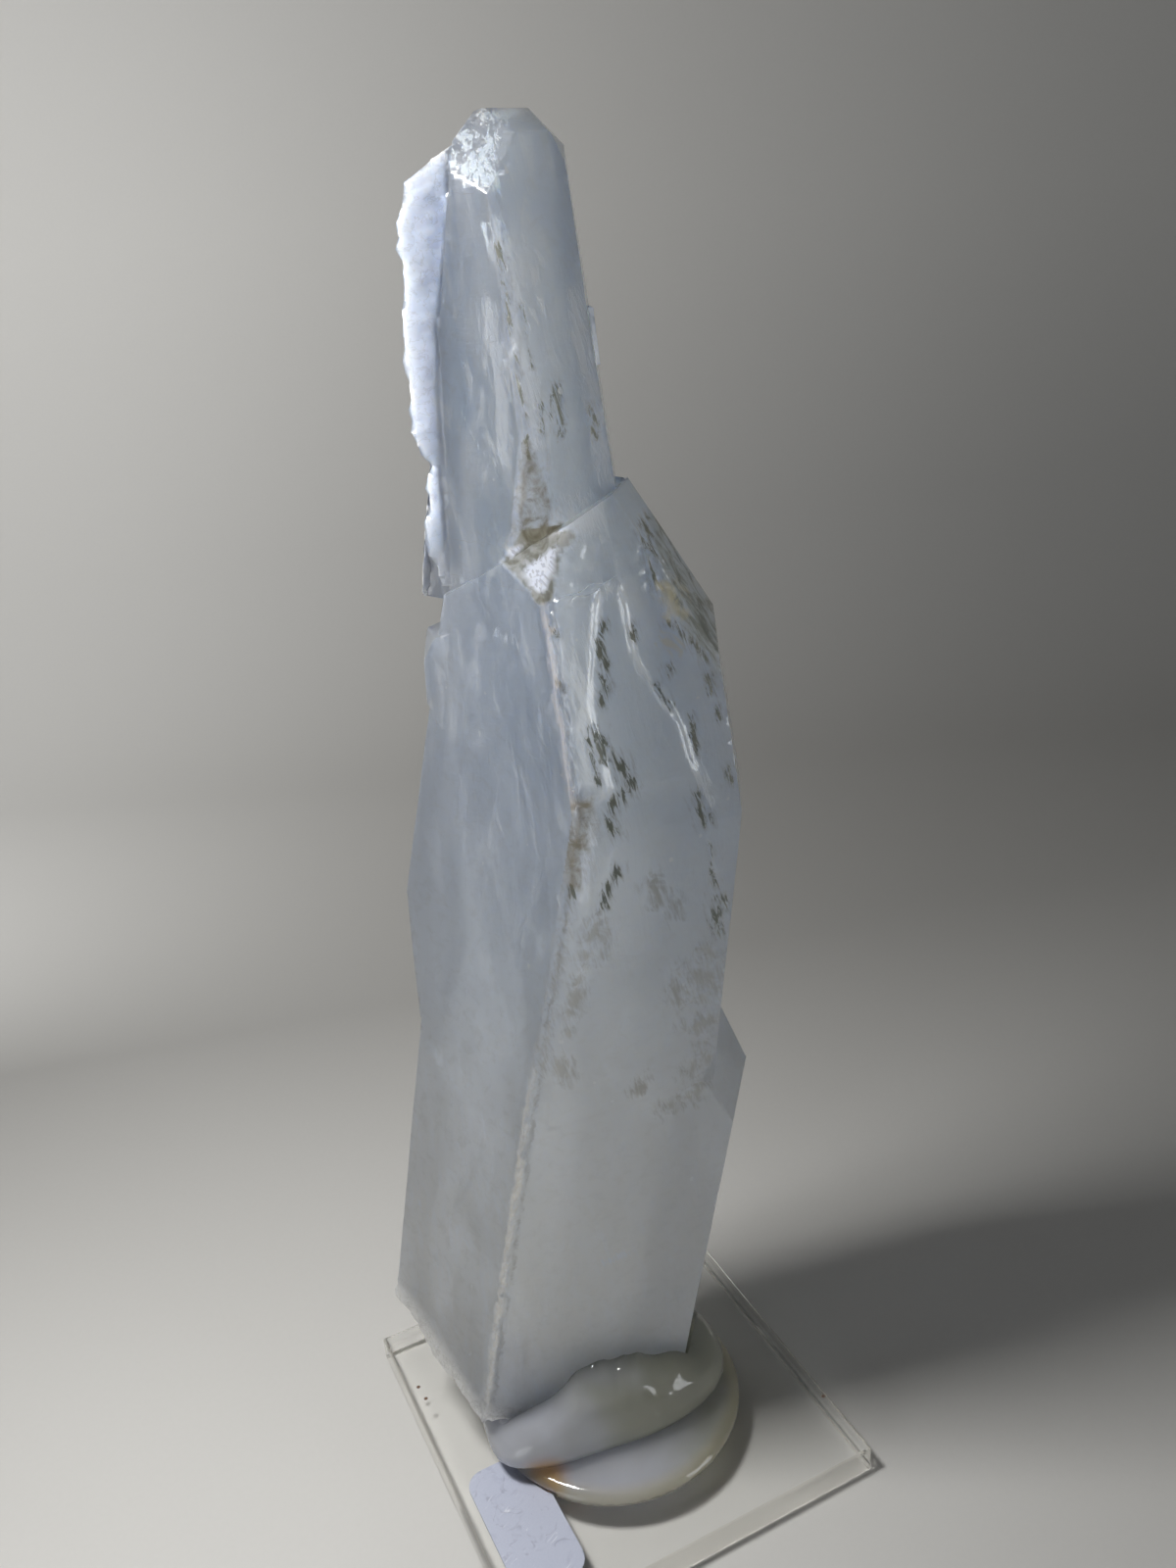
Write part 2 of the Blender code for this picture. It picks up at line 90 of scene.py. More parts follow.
# Marks on the right of the ridge and on the point: half width, then points across and up
CREVICES = (
    (0.34, (4.5, 92.1), (3.9, 91.2), (3.9, 90.0), (4.4, 89.0)),
    (0.34, (3.9, 88.0), (4.1, 87.2), (3.7, 85.9)),
    (0.36, (2.9, 84.2), (3.5, 83.1), (3.6, 82.0)),
    (0.48, (4.1, 81.3), (5.2, 80.4), (5.5, 79.0), (5.2, 78.3)),
    (0.44, (4.6, 78.0), (4.0, 77.4), (3.8, 76.0), (4.2, 74.9)),
    (0.24, (2.5, 83.2), (2.8, 81.4), (3.2, 79.5)),
    (0.26, (6.7, 91.5), (6.8, 90.6)),
    (0.22, (8.3, 86.6), (8.9, 85.5), (9.6, 84.6)),
    (0.24, (11.1, 83.5), (11.2, 81.9), (11.4, 80.1)),
    (0.42, (11.4, 76.7), (11.7, 75.5), (11.9, 74.2)),
    (0.20, (12.2, 72.2), (12.3, 69.3), (12.6, 67.6)),
    (0.42, (12.4, 66.5), (12.5, 64.7), (12.7, 63.1)),
    (0.38, (13.3, 66.3), (13.0, 64.9)),
    (0.30, (9.3, 87.8), (9.5, 87.3)),
    (0.28, (12.8, 86.4), (12.9, 85.1)),
    (0.24, (13.4, 83.8), (13.5, 82.9)),
    (0.30, (14.1, 78.5), (14.3, 77.6)),
    (0.26, (0.3, 92.2), (0.6, 91.8)),
    (0.26, (0.5, 88.0), (0.8, 87.6)),
    (0.36, (4.2, 71.5), (3.8, 70.6), (3.1, 69.4), (2.8, 68.1)),
    (0.30, (0.1, 70.3), (0.1, 69.6)),
    (0.24, (2.1, 110.4), (2.2, 108.4), (2.2, 106.6)),
    (0.16, (1.5, 109.7), (1.3, 106.9)),
    (0.16, (0.8, 109.2), (0.7, 106.8)),
    (0.20, (4.5, 108.9), (4.7, 107.5), (4.8, 106.1)),
    (0.22, (-1.5, 120.6), (-1.3, 117.2), (-1.2, 114.4)),
    (0.18, (-1.0, 112.9), (-0.8, 110.4), (-0.5, 107.4), (-0.6, 105.2)),
    (0.14, (-0.2, 116.2), (0.1, 113.5), (0.3, 111.8)),
    (0.32, (9.7, 91.2), (10.3, 90.7)),
    (0.36, (8.3, 98.9), (8.6, 97.2), (8.8, 94.9), (9.4, 93.9)),
    (0.30, (10.6, 90.4), (11.7, 89.2), (12.8, 87.9)),
)
SOFT_STAINS = (
    (0.55, (2.0, 66.7), (1.5, 64.9), (0.7, 63.0)),
    (0.50, (0.1, 61.4), (-0.4, 59.1), (-1.0, 57.6), (-1.3, 56.2)),
    (0.55, (2.4, 65.2), (2.3, 63.1)),
    (0.55, (-2.1, 52.5), (-1.6, 51.0)),
    (0.50, (7.1, 69.5), (7.6, 67.6)),
    (0.50, (8.9, 66.9), (8.8, 65.7)),
    (0.60, (11.3, 61.4), (12.0, 60.2)),
    (1.10, (10.8, 58.9), (12.9, 58.8)),
    (0.55, (9.0, 57.9), (9.1, 56.6)),
    (0.45, (11.1, 56.3), (12.5, 56.8)),
    (0.70, (9.9, 53.5), (11.6, 53.5)),
    (0.60, (10.8, 50.6), (10.9, 48.9), (9.4, 48.2)),
    (0.60, (10.9, 46.0), (9.7, 44.7), (7.4, 44.4)),
    (0.45, (4.7, 47.5), (5.5, 48.5)),
)
PALE_LAYERS_AND_PAINTED_HIGHLIGHT = (
    (0.42, (5.1, 94.9), (4.1, 94.0), (3.7, 92.7), (3.1, 91.7), (2.9, 89.1)),
    (0.50, (2.9, 89.1), (2.9, 86.2), (2.4, 84.1), (2.7, 82.0), (3.3, 79.5), (4.1, 78.4)),
    (0.30, (5.9, 94.3), (6.4, 92.5), (6.6, 89.5), (7.1, 88.1), (7.9, 86.4), (8.6, 85.2)),
    (0.36, (8.6, 85.2), (10.2, 83.8), (10.7, 81.9), (11.3, 79.8), (11.9, 77.6), (12.4, 76.0)),
    (0.24, (12.1, 72.4), (12.6, 68.6), (11.9, 65.4)),
    (0.34, (8.2, 99.4), (8.5, 97.3), (8.8, 95.7), (9.3, 93.1), (10.3, 90.8), (12.6, 88.2)),
    (0.85, (0.2, 90.9), (1.7, 87.7), (1.8, 83.0), (2.0, 79.8)),
    (0.45, (2.2, 76.2), (1.6, 72.9), (0.8, 69.3)),
    (0.60, (-1.4, 121.8), (-0.8, 119.1), (-0.7, 115.0), (-0.3, 110.1), (-0.2, 106.5)),
    (0.45, (3.8, 116.7), (4.4, 111.1), (5.0, 106.6), (5.4, 102.6)),
    (0.45, (0.4, 26.6), (2.4, 26.9)),
    (1.10, (1.8, 99.7), (3.7, 100.2)),
    # Pale strokes on the point's left facet: partly its frost, partly a painted highlight where the
    # facet faces the light
    (0.9, (-3.2, 126.0), (-1.6, 124.9)),
    (0.5, (-2.2, 126.4), (-1.5, 127.4)),
    (0.5, (-1.6, 129.2), (0.6, 129.3)),
    (0.5, (-4.5, 126.3), (-3.2, 125.4)),
    (0.4, (-4.0, 128.4), (-3.0, 127.8)),
    (0.16, (0.3, 121.0), (0.4, 120.2)),
    (0.18, (1.1, 120.0), (1.6, 119.0)),
    (0.18, (1.3, 116.6), (1.9, 115.2)),
    (0.16, (0.9, 118.9), (1.1, 117.8)),
    (0.18, (0.6, 115.9), (0.8, 114.9)),
)
OLIVE_PATCHES = (
    (0.80, (1.5, 77.8), (1.2, 76.2), (0.6, 74.0), (0.0, 71.5)),
    (0.70, (-0.6, 106.0), (-0.4, 103.6), (-0.5, 101.6), (-1.2, 99.8)),
    (0.60, (0.4, 101.2), (-0.4, 99.6)),
)
CREAM_PATCHES = (
    (0.9, (9.4, 93.2), (10.8, 91.8)),
    (0.6, (9.2, 89.8), (10.1, 89.2)),
)
# Milky marks on the left of the ridge
LEFT_PALE = (
    (0.22, (-18.4, 30.4), (-18.2, 30.0)),
    (0.16, (-9.4, 64.5), (-9.2, 64.0)),
    (0.14, (-12.0, 58.2), (-11.9, 57.9)),
    (0.60, (-4.4, 91.2), (-2.8, 90.7)),
    (0.05, (-5.6, 108.5), (-3.4, 103.4)),
    (0.04, (-4.9, 107.2), (-3.5, 104.4)),
    (0.05, (-5.2, 112.5), (-4.3, 110.6)),
    (0.34, (-8.8, 93.4), (-7.6, 94.5), (-6.2, 95.3), (-4.6, 96.8), (-3.0, 97.3)),
    (0.45, (-4.4, 97.3), (-3.6, 97.0)),
    (0.22, (-2.3, 121.8), (-1.9, 119.5)),
    (0.60, (-2.6, 116.0), (-2.2, 110.0), (-2.5, 105.0)),
)
# Two facets at the step painted bright as a reflection of the light, the stained grooves beside
# them, and the dark ledge around them.
# An outline has to bulge outwards all the way round
MIRRORS = (
    ((-3.1, 98.2), (-1.5, 98.4), (-2.5, 97.4)),
    ((-1.6, 96.8), (0.4, 98.1), (1.1, 98.5), (0.75, 97.0), (0.0, 95.3), (-0.6, 95.1), (-1.4, 95.9)),
)
STEP_STAINS = (
    (0.30, (-2.4, 96.9), (-0.9, 97.9), (0.9, 98.95), (2.3, 99.2)),
    (0.50, (-1.0, 99.3), (0.4, 99.6)),
    (0.34, (-0.9, 95.0), (-0.6, 94.4)),
)
STEP_OUTLINES = (
    ((-3.4, 97.0), (-1.4, 99.8), (2.4, 99.8), (2.7, 98.9), (-1.6, 95.3)),
    ((-1.8, 95.6), (-1.0, 98.0), (1.5, 98.4), (1.0, 96.2), (0.5, 94.6), (-0.6, 94.1)),
)
# Dark green end of the right shoulder: its heights, where it starts, and its edge by height
CHLORITE_LOW = 84.0
CHLORITE_HIGH = 101.5
CHLORITE_START = 8.6
CHLORITE_EDGE = ((84.0, 14.0), (88.0, 12.8), (90.8, 10.5), (93.1, 9.6), (97.0, 8.7), (99.4, 8.2))
# Seam: how far its rim stands out, how wide it is and how strong by height, and its groove
RIM_RISE = 0.2
RIM_WIDTH = 0.42
RIM_STRENGTH = ((8.0, 1.0), (40.0, 0.95), (49.0, 0.7), (56.0, 0.2), (76.0, 0.15), (79.0, 0.2))
RIM_STRENGTH += ((94.0, 0.25), (98.0, 0.4), (106.0, 0.4), (124.0, 0.3))
GROOVE_AT = 0.7
GROOVE_DEPTH = 0.16
GROOVE_WIDTH = 0.22
# Steps of the growth layers that are rounded off: how often, and how high and how far right
EASE_ROUNDS = 40
EASE_LOW = 36.0
EASE_HIGH = 94.5
EASE_RIGHT = ((36.0, 10.2), (60.0, 11.5), (80.0, 12.5), (95.0, 8.5))
# Specks of dirt on the base: where, and how large
SPECKS = (((-18.7, 11.3, 3.0), 0.3), ((-18.5, 9.4, 3.0), 0.3), ((19.5, -12.2, 3.0), 0.34))
# Upper edge of the collar of glue: across, and how far it climbs or sinks
GLUE_WAVE = (
    (-12.0, 0.0),
    (-8.5, 0.0),
    (-7.0, -0.3),
    (-5.0, 0.1),
    (-3.6, 0.7),
    (-1.5, 0.4),
    (0.8, 0.0),
    (3.0, 0.45),
    (4.6, -0.1),
    (6.5, 0.35),
    (9.0, 0.0),
)
WAVE_FOOT = 9.0
# Edges of the glue that stay sharp, in degrees
GLUE_SHARP = 38.0
# Fin on the column's left: where it starts, its root by height, and its depths
FIN_LOW = 93.0
FIN_ROOT = ((93.0, -8.3), (104.0, -7.8), (115.0, -6.9), (117.6, -6.2), (123.0, -5.0), (127.0, -4.7))
FIN_NEAR = 1.9
FIN_FRONT = 2.7
FIN_BACK = 4.5
FIN_FAR = 5.5
# Upper edge of the fracture under the foot, from across
FOOT_LINE = ((-26.0, 21.5), (-21.3, 18.6), (-19.5, 17.0), (-13.4, 11.5), (-8.0, 8.6), (16.0, 8.2))
# How far the pad of glue and the label are let down, and up to which height the pad gives way
PAD_FOOT = 3.35
PAD_DROP = 0.27
LABEL_DROP = 0.28
LABEL_PITCH = 0.6

# Colours of the quartz that have no setting; LOW is near the foot and HIGH near the point
MOTTLED = (0.36, 0.37, 0.34)
CALM = (0.34, 0.36, 0.40)
MILKY_LOW = (0.84, 0.86, 0.87)
MILKY_HIGH = (0.74, 0.87, 1.0)
OLIVE_LOW = (0.20, 0.17, 0.10)
OLIVE_HIGH = (0.08, 0.07, 0.045)
GREEN_END_PALE = (0.22, 0.23, 0.18)
GREEN_END_DARK = (0.07, 0.085, 0.06)
CREAM = (0.66, 0.60, 0.42)
WORN_RIDGE = (0.78, 0.62, 0.56)
GROOVE = (0.17, 0.15, 0.11)
GLINT = (0.90, 0.95, 1.0)
BROKEN_LOW = (0.50, 0.51, 0.50)
BROKEN_HIGH = (0.60, 0.66, 0.85)
CRACK = (0.25, 0.26, 0.25)
LEDGE_PALE = (0.20, 0.20, 0.18)
LEDGE_DARK = (0.08, 0.08, 0.055)
# Painted reflection of the light on the two facets at the step, and a dimmer one where they lie on
# the ledge
PAINTED_FACET_REFLECTION = (0.92, 0.94, 1.0)
PAINTED_REFLECTION_ON_LEDGE = (0.62, 0.66, 0.78)
SCORED = (0.38, 0.40, 0.48)

# Camera: place, directions of its right and up, and focal length in pixels of its frame
CAMERA_PLACE = (-0.04241, -0.09604, 0.12316)
CAMERA_RIGHT = (0.8912, -0.4488, -0.0667)
CAMERA_UP = (0.2379, 0.3369, 0.9110)
FOCAL_PIXELS = 1336.0
FRAME_HEIGHT_PIXELS = 1600.0
SENSOR_HEIGHT = 36.0
# Lights: name, setting of its power, share of it, size, place, aim and colour
MIDDLE = (0.0, 0.0, 0.06)
WARM = (1.0, 0.995, 0.985)
WHITE = (1.0, 1.0, 1.0)
COOL = (0.94, 0.97, 1.0)
LIGHTS = (
    ("key", "key_power", 1.0, 0.028, (-0.058, 0.012, 0.155), (-0.08, -0.05, 0.0), WARM),
    ("wall light", "wall_power", 1.0, 0.16, (-0.15, 0.1, 0.14), (-0.08, 0.4, 0.2), WHITE),
    ("left fill", "fill_power", 1.2, 0.16, (-0.30, -0.17, 0.05), MIDDLE, COOL),
    ("right fill", "fill_power", 2.5, 0.15, (0.24, -0.30, 0.052), MIDDLE, COOL),
)
# Floor and the wall it curves up into, in metres
SWEEP_SIDE = 1.4
SWEEP_FRONT = -1.2
SWEEP_BEND = 0.18
SWEEP_RADIUS = 0.12
SWEEP_TOP = 1.0
SWEEP_STEPS = 12
SWEEP_GAP = 0.05 * MM


def colour_setting(name, description, default):
    """A colour in the sidebar."""
    return FloatVectorProperty(
        name=name, description=description, default=default, subtype="COLOR", size=3
    )


def width_setting(name, description, default):
    """A length in the sidebar."""
    return FloatProperty(
        name=name, description=description, default=default, subtype="DISTANCE", unit="LENGTH"
    )


def share_setting(name, description, default):
    """A value from 0 to 1 in the sidebar."""
    return FloatProperty(name=name, description=description, default=default, min=0.0, max=1.0)


def power_setting(name, description, default):
    """The power of a light in the sidebar, in watts."""
    return FloatProperty(
        name=name, description=description, default=default, subtype="POWER", unit="POWER"
    )


class CrystalSettings(PropertyGroup):
    """Sizes and colours of the crystal."""

    pitch: width_setting(
        "Lattice", "Width of the cells that the crystal's faces are cut into", 0.5 * MM
    )
    body_low: colour_setting(
        "Body, low", "Colour of the cloudy quartz near the foot", (0.71, 0.72, 0.70)
    )
    body_high: colour_setting(
        "Body, high", "Colour of the cloudy quartz near the point", (0.50, 0.67, 1.0)
    )
    pale: colour_setting(
        "Pale layers", "Colour of the milky edges of the growth layers", (0.76, 0.85, 1.0)
    )
    chlorite: colour_setting(
        "Chlorite", "Colour of the dark green crevices", (0.07, 0.085, 0.07)
    )
    stain: colour_setting("Stain", "Colour of the brown grey smudges", (0.13, 0.115, 0.08))
    rim: colour_setting(
        "Seam rim", "Colour of the pale rim along the front ridge", (0.50, 0.47, 0.41)
    )
    clarity: share_setting(
        "Clarity", "Share of the light that passes into the clear quartz", 0.68
    )
    coat_roughness: share_setting("Polish", "Roughness of the bright skin of the faces", 0.08)


class GlueSettings(PropertyGroup):
    """Sizes and colours of the two pieces of glue."""

    pitch: width_setting("Lattice", "Width of the cells that the glue is cut into", 0.55 * MM)
    rounds: IntProperty(
        name="Smoothing",
        description="How often the glue's surface is smoothed",
        default=6,
        min=0,
        max=30,
    )
    milky: colour_setting("Milky", "Colour of the haze in the glue", (0.72, 0.75, 0.88))
    olive: colour_setting(
        "Olive", "Colour of the haze towards the right end of the glue", (0.66, 0.66, 0.56)
    )
    # Painted caustic light: the warm glow that the glue focuses at its thin rim, painted into its
    # colour
    painted_caustic: colour_setting("Warm", "Colour of the glue's thin rim", (0.86, 0.74, 0.42))


class BaseSettings(PropertyGroup):
    """Colours of the base and the label."""

    tint: colour_setting("Base tint", "Colour of the clear base", (0.97, 0.97, 0.95))
    wall: colour_setting(
        "Base edge", "Colour of the base's sawn side walls", (0.80, 0.78, 0.73)
    )
    paper: colour_setting("Label", "Colour of the label's paper", (0.50, 0.53, 0.64))


class StageSettings(PropertyGroup):
    """Floor, lights and camera."""

    floor_colour: colour_setting(
        "Floor", "Colour of the floor and the sweep behind it", (0.66, 0.65, 0.625)
    )
    key_power: power_setting(
        "Key light", "Power of the small light on the upper left, in watts", 0.22
    )
    wall_power: power_setting(
        "Wall light",
        "Power of the light that washes the sweep behind the crystal, in watts",
        0.55,
    )
    fill_power: power_setting(
        "Fill light",
        "Power of the two low, soft lights on either side of the camera, in watts",
        0.13,
    )
    sky: FloatProperty(
        name="Room light",
        description="Strength of the even light from all around",
        default=0.012,
        min=0.0,
    )


# ---------------------------------------------------------------- mesh tools


def node_copy(name):
    """A closed copy of a solid's mesh in millimetres, in the crystal's frame."""
    bm = bmesh.new()
    bm.from_mesh(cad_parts[name].data)
    bmesh.ops.remove_doubles(bm, verts=bm.verts[:], dist=0.001 * MM)
    bm.transform(Matrix.Scale(1.0 / MM, 4) @ Matrix.Rotation(-SPECIMEN_TURN, 4, "Z"))
    return bm


def slice_up(bm, axis, pitch):
    """Cut all the faces along one axis into strips."""
    heights = [vert.co[axis] for vert in bm.verts]
    normal = Vector((0.0, 0.0, 0.0))
    normal[axis] = 1.0
    for i in range(1, math.ceil((max(heights) - min(heights)) / pitch)):
        bmesh.ops.bisect_plane(
            bm,
            geom=bm.verts[:] + bm.edges[:] + bm.faces[:],
            dist=1e-5,
            plane_co=normal * (min(heights) + i * pitch),
            plane_no=normal,
        )


def lattice(bm, pitch):
    """Cut the faces into cells, upwards first while there are few of them."""
    for axis in (2, 0, 1):
        slice_up(bm, axis, pitch)


def split_faces(bm, faces):
    """Divide each of these faces into smaller ones."""
    cut = bmesh.ops.triangulate(bm, faces=faces)
    edges = {edge for face in cut["faces"] for edge in face.edges}
    bmesh.ops.subdivide_edges(bm, edges=list(edges), cuts=1, use_grid_fill=True)


def places(bm):
    """Where the points are, as an array."""
    return np.array([vert.co[:] for vert in bm.verts])


def cut_large_faces(bm):
    """Leave nothing with more than four corners."""
    bmesh.ops.triangulate(bm, faces=[face for face in bm.faces if len(face.verts) > 4])


def soften(bm, verts, rounds):
    """Move these points towards their neighbours, again and again."""
    for _ in range(rounds):
        bmesh.ops.smooth_vert(
            bm, verts=verts, factor=0.5, use_axis_x=True, use_axis_y=True, use_axis_z=True
        )


def finish_mesh(bm, name, sharp_angle):
    """Turn a worked mesh back into the part's frame and link it."""
    bm.transform(Matrix.Rotation(SPECIMEN_TURN, 4, "Z") @ Matrix.Scale(MM, 4))
    cut_large_faces(bm)
    mesh = bpy.data.meshes.new(name)
    bm.to_mesh(mesh)
    bm.free()
    mesh.shade_smooth()
    mesh.set_sharp_from_angle(angle=math.radians(sharp_angle))
    piece = bpy.data.objects.new(name, mesh)
    bpy.context.scene.collection.objects.link(piece)
    return piece


def add_mark(piece, name, values):
    """Store one value per point, for the material to read."""
    mark = piece.data.attributes.new(name, "FLOAT", "POINT")
    mark.data.foreach_set("value", np.asarray(values, dtype=np.float32))


def attach(piece, material, node):
    """Give a finished piece its material and put it in the place of its solid."""
    piece.data.materials.append(material)
    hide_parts(node)
    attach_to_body(piece, BODY)


# ------------------------------------------------------------ marks on quartz


def stroke_level(across, up, strokes):
    """1 on the line of the nearest stroke, 0.5 at its edge, falling to -1."""
    level = np.full(len(across), -1.0)
    for half_width, *points in strokes:
        for (x0, z0), (x1, z1) in zip(points, points[1:]):
            run_x = x1 - x0
            run_z = z1 - z0
            share = ((across - x0) * run_x + (up - z0) * run_z) / (run_x**2 + run_z**2)
            share = np.clip(share, 0.0, 1.0)
            distance = np.hypot(across - x0 - share * run_x, up - z0 - share * run_z)
            level = np.maximum(level, 1.0 - distance / (2.0 * half_width))
    return level


def inside(across, up, corners):
    """How far inside an outline that bulges all round each point lies, below zero outside."""
    reach = np.full(len(across), 9.0)
    middle_x = sum(x for x, _ in corners) / len(corners)
    middle_z = sum(z for _, z in corners) / len(corners)
    for (x0, z0), (x1, z1) in zip(corners, (*corners[1:], corners[0])):
        length = math.hypot(x1 - x0, z1 - z0)
        side = ((x1 - x0) * (up - z0) - (z1 - z0) * (across - x0)) / length
        turn = (x1 - x0) * (middle_z - z0) - (z1 - z0) * (middle_x - x0)
        reach = np.minimum(reach, side if turn > 0.0 else -side)
    return reach


def inside_any(across, up, outlines):
    """How far inside one of these outlines each point lies, below zero outside all of them."""
    return np.max([inside(across, up, corners) for corners in outlines], axis=0)


def along(value, line, start=0, end=1):
    """Read a line of points: its end column where its start column has this value."""
    return np.interp(value, [point[start] for point in line], [point[end] for point in line])


def ridge_at(up, ridge, axis):
    """Where the ridge lies across or in depth at these heights."""
    return along(up, ridge, 2, axis)


def seam_distance(spots):
    """Distance to the front ridge: below zero on its left, above on its right."""
    across, depth, up = spots.T
    ridge_across, ridge_depth = (
        np.where(up > COLUMN_LOW, ridge_at(up, COLUMN_RIDGE, axis), ridge_at(up, LOWER_RIDGE, axis))
        for axis in (0, 1)
    )
    distance = np.hypot(across - ridge_across, depth - ridge_depth)
    distance = np.where(across < ridge_across, -distance, distance)
    open_zone = ((up > STEP_LOW) & (up < COLUMN_LOW)) | (up > RIDGE_TOP) | (up < RIDGE_FOOT)
    distance = np.clip(distance, -NO_RIDGE, NO_RIDGE)
    return np.where(open_zone | (depth > FRONT_DEPTH), NO_RIDGE, distance)


def right_of_ridge(spots, seam):
    """Points of the front on the ridge's right, and all those of the step between its parts."""
    front = spots[:, 1] < FRONT_DEPTH
    return front & (seam > -0.2) | (spots[:, 2] > 95.0) & (spots[:, 2] < 98.5) & front


def broken_zone(spots):
    """How rough the quartz is: 1 on the fin and the fractured foot."""
    across, depth, up = spots.T
    fin_root = along(up, FIN_ROOT)
    fin = np.clip((fin_root - across) / 0.5, 0.0, 1.0) * (up > FIN_LOW) * (depth > FIN_NEAR)
    fin *= np.where(np.abs(depth - 0.5 * (FIN_FRONT + FIN_BACK)) > 0.85, 1.0, 0.35)
    fin *= np.maximum(np.interp(up, (94.0, 101.0), (0.3, 1.0)), 0.5 * (across < fin_root - 0.9))
    foot_line = along(across, FOOT_LINE)
    foot = 0.8 * np.clip((foot_line + 1.6 - up) / 2.6, 0.0, 1.0) * (across < -8.5)
    under = np.clip((foot_line - 0.8 - up) / 0.8, 0.0, 1.0)
    return np.maximum(np.maximum(fin, foot), under)


def uneven(spot, scale, seed):
    """Smooth noise about zero at a place on the crystal."""
    return noise.noise(Vector(spot) / scale + Vector((seed, -seed, 0.5 * seed)))


def chipped(spot, scale, seed):
    """Noise with flat chips and sharp steps."""
    distances, _ = noise.voronoi(Vector(spot) / scale + Vector((seed, seed, -seed)))
    return distances[0] - 0.4


def even_fin(bm):
    """Level the front and the back of the fin, so that only its edge is ragged."""
    bm.normal_update()
    for vert in bm.verts:
        across, depth, up = vert.co
        if up <= FIN_LOW or not FIN_NEAR < depth < FIN_FAR:
            continue
        if across < along(up, FIN_ROOT) - 0.2:
            if vert.normal.y < -0.8:
                vert.co.y = FIN_FRONT
            elif vert.normal.y > 0.8:
                vert.co.y = FIN_BACK


def ease_layers(bm):
    """Round off the steps between the growth layers, on the front's right and left."""
    bm.verts.ensure_lookup_table()
    spots = places(bm)
    seam = seam_distance(spots)
    across, depth, up = spots.T
    right = (seam > 0.45) & (across < along(up, EASE_RIGHT))
    left = (seam < -0.2) & (seam > -5.0)
    eased = (up > EASE_LOW) & (up < EASE_HIGH) & (depth < 0.5) & (right | left)
    soften(bm, [bm.verts[i] for i in np.flatnonzero(eased)], EASE_ROUNDS)


def work_surface(bm, spots, seam, rim, rough, mirror):
    """Raise the seam's rim, sink the groove beside it and break up the rough zones."""
    bm.normal_update()
    bm.verts.ensure_lookup_table()
    moves = []
    for i, vert in enumerate(bm.verts):
        spot = spots[i]
        push = 0.05 * uneven(spot, 7.0, 6.0)
        if abs(seam[i]) < 3.0:
            wander = 0.3 * uneven((0.0, 0.0, spot[2]), 1.7, 3.0)
            ragged = rim[i] * (0.7 + 1.3 * uneven(spot, 0.7, 5.0))
            push += RIM_RISE * ragged * math.exp(-(((seam[i] - wander) / RIM_WIDTH) ** 2))
            groove = math.exp(-(((seam[i] - GROOVE_AT - wander) / GROOVE_WIDTH) ** 2))
            push -= GROOVE_DEPTH * groove * (0.7 + uneven(spot, 1.5, 8.0))
        if rough[i] > 0.0:
            push += rough[i] * (0.3 * chipped(spot, 1.2, 2.0) + 0.14 * uneven(spot, 0.5, 4.0))
        elif 94.0 < spot[2] < 99.4 and spot[1] < 0.0 and mirror[i] < 0.1:
            push += 0.3 * chipped(spot, 0.9, 7.0)
        moves.append(vert.normal * push)
    for vert, move in zip(bm.verts, moves):
        vert.co += move


def quartz_marks(spots, seam, right):
    """Every mark of the quartz by name, with one value per point."""
    across, depth, up = spots.T
    left = (depth < 4.0) & ~right
    on_step = (up > 94.2) & (up < 99.6) & (depth < FRONT_DEPTH)
    beside_ridge = 0.7 - np.abs(seam - 0.9) - 0.5 * np.clip(np.abs(up - 61.0) - 9.0, 0.0, 3.0)
    ridge = ridge_at(up, (*LOWER_RIDGE, *COLUMN_RIDGE), 0)
    mirror = inside_any(across, up, MIRRORS)
    ledge = inside_any(across, up, STEP_OUTLINES)
    end = np.clip((across - CHLORITE_START) / 0.8, 0.0, 1.0)
    end *= np.clip((up - CHLORITE_LOW) / 3.0, 0.0, 1.0) * np.clip(CHLORITE_HIGH - up, 0.0, 1.0)

    def strokes(where, lines, fade=0.0):
        """Strokes on these points, and none on the others."""
        return np.where(where, stroke_level(across, up, lines) - fade, -1.0)

    stain = np.maximum(strokes(right, SOFT_STAINS), np.where(right, beside_ridge, -1.0))
    faded = 0.4 * (up < 98.0)
    return {
        "seam": seam,
        "rim": along(up, RIM_STRENGTH),
        "crevice": strokes(right, CREVICES),
        "stain": np.maximum(stain, strokes(on_step, STEP_STAINS)),
        "pale": np.maximum(strokes(right, PALE_LAYERS_AND_PAINTED_HIGHLIGHT), strokes(left, LEFT_PALE, faded)),
        "cream": strokes(right, CREAM_PATCHES),
        "olive": strokes(right, OLIVE_PATCHES),
        "milky": np.clip((across - ridge) / 2.0, 0.0, 1.0),
        "rough": broken_zone(spots),
        "mirror": np.where(on_step, np.clip(mirror / 0.2 + 0.5, 0.0, 1.0), 0.0),
        "step": np.where(on_step, np.clip(ledge / 0.3 + 0.7, 0.0, 1.0), 0.0),
        "chlorite": end * np.clip((across - along(up, CHLORITE_EDGE)) / 0.5, 0.0, 1.0),
    }


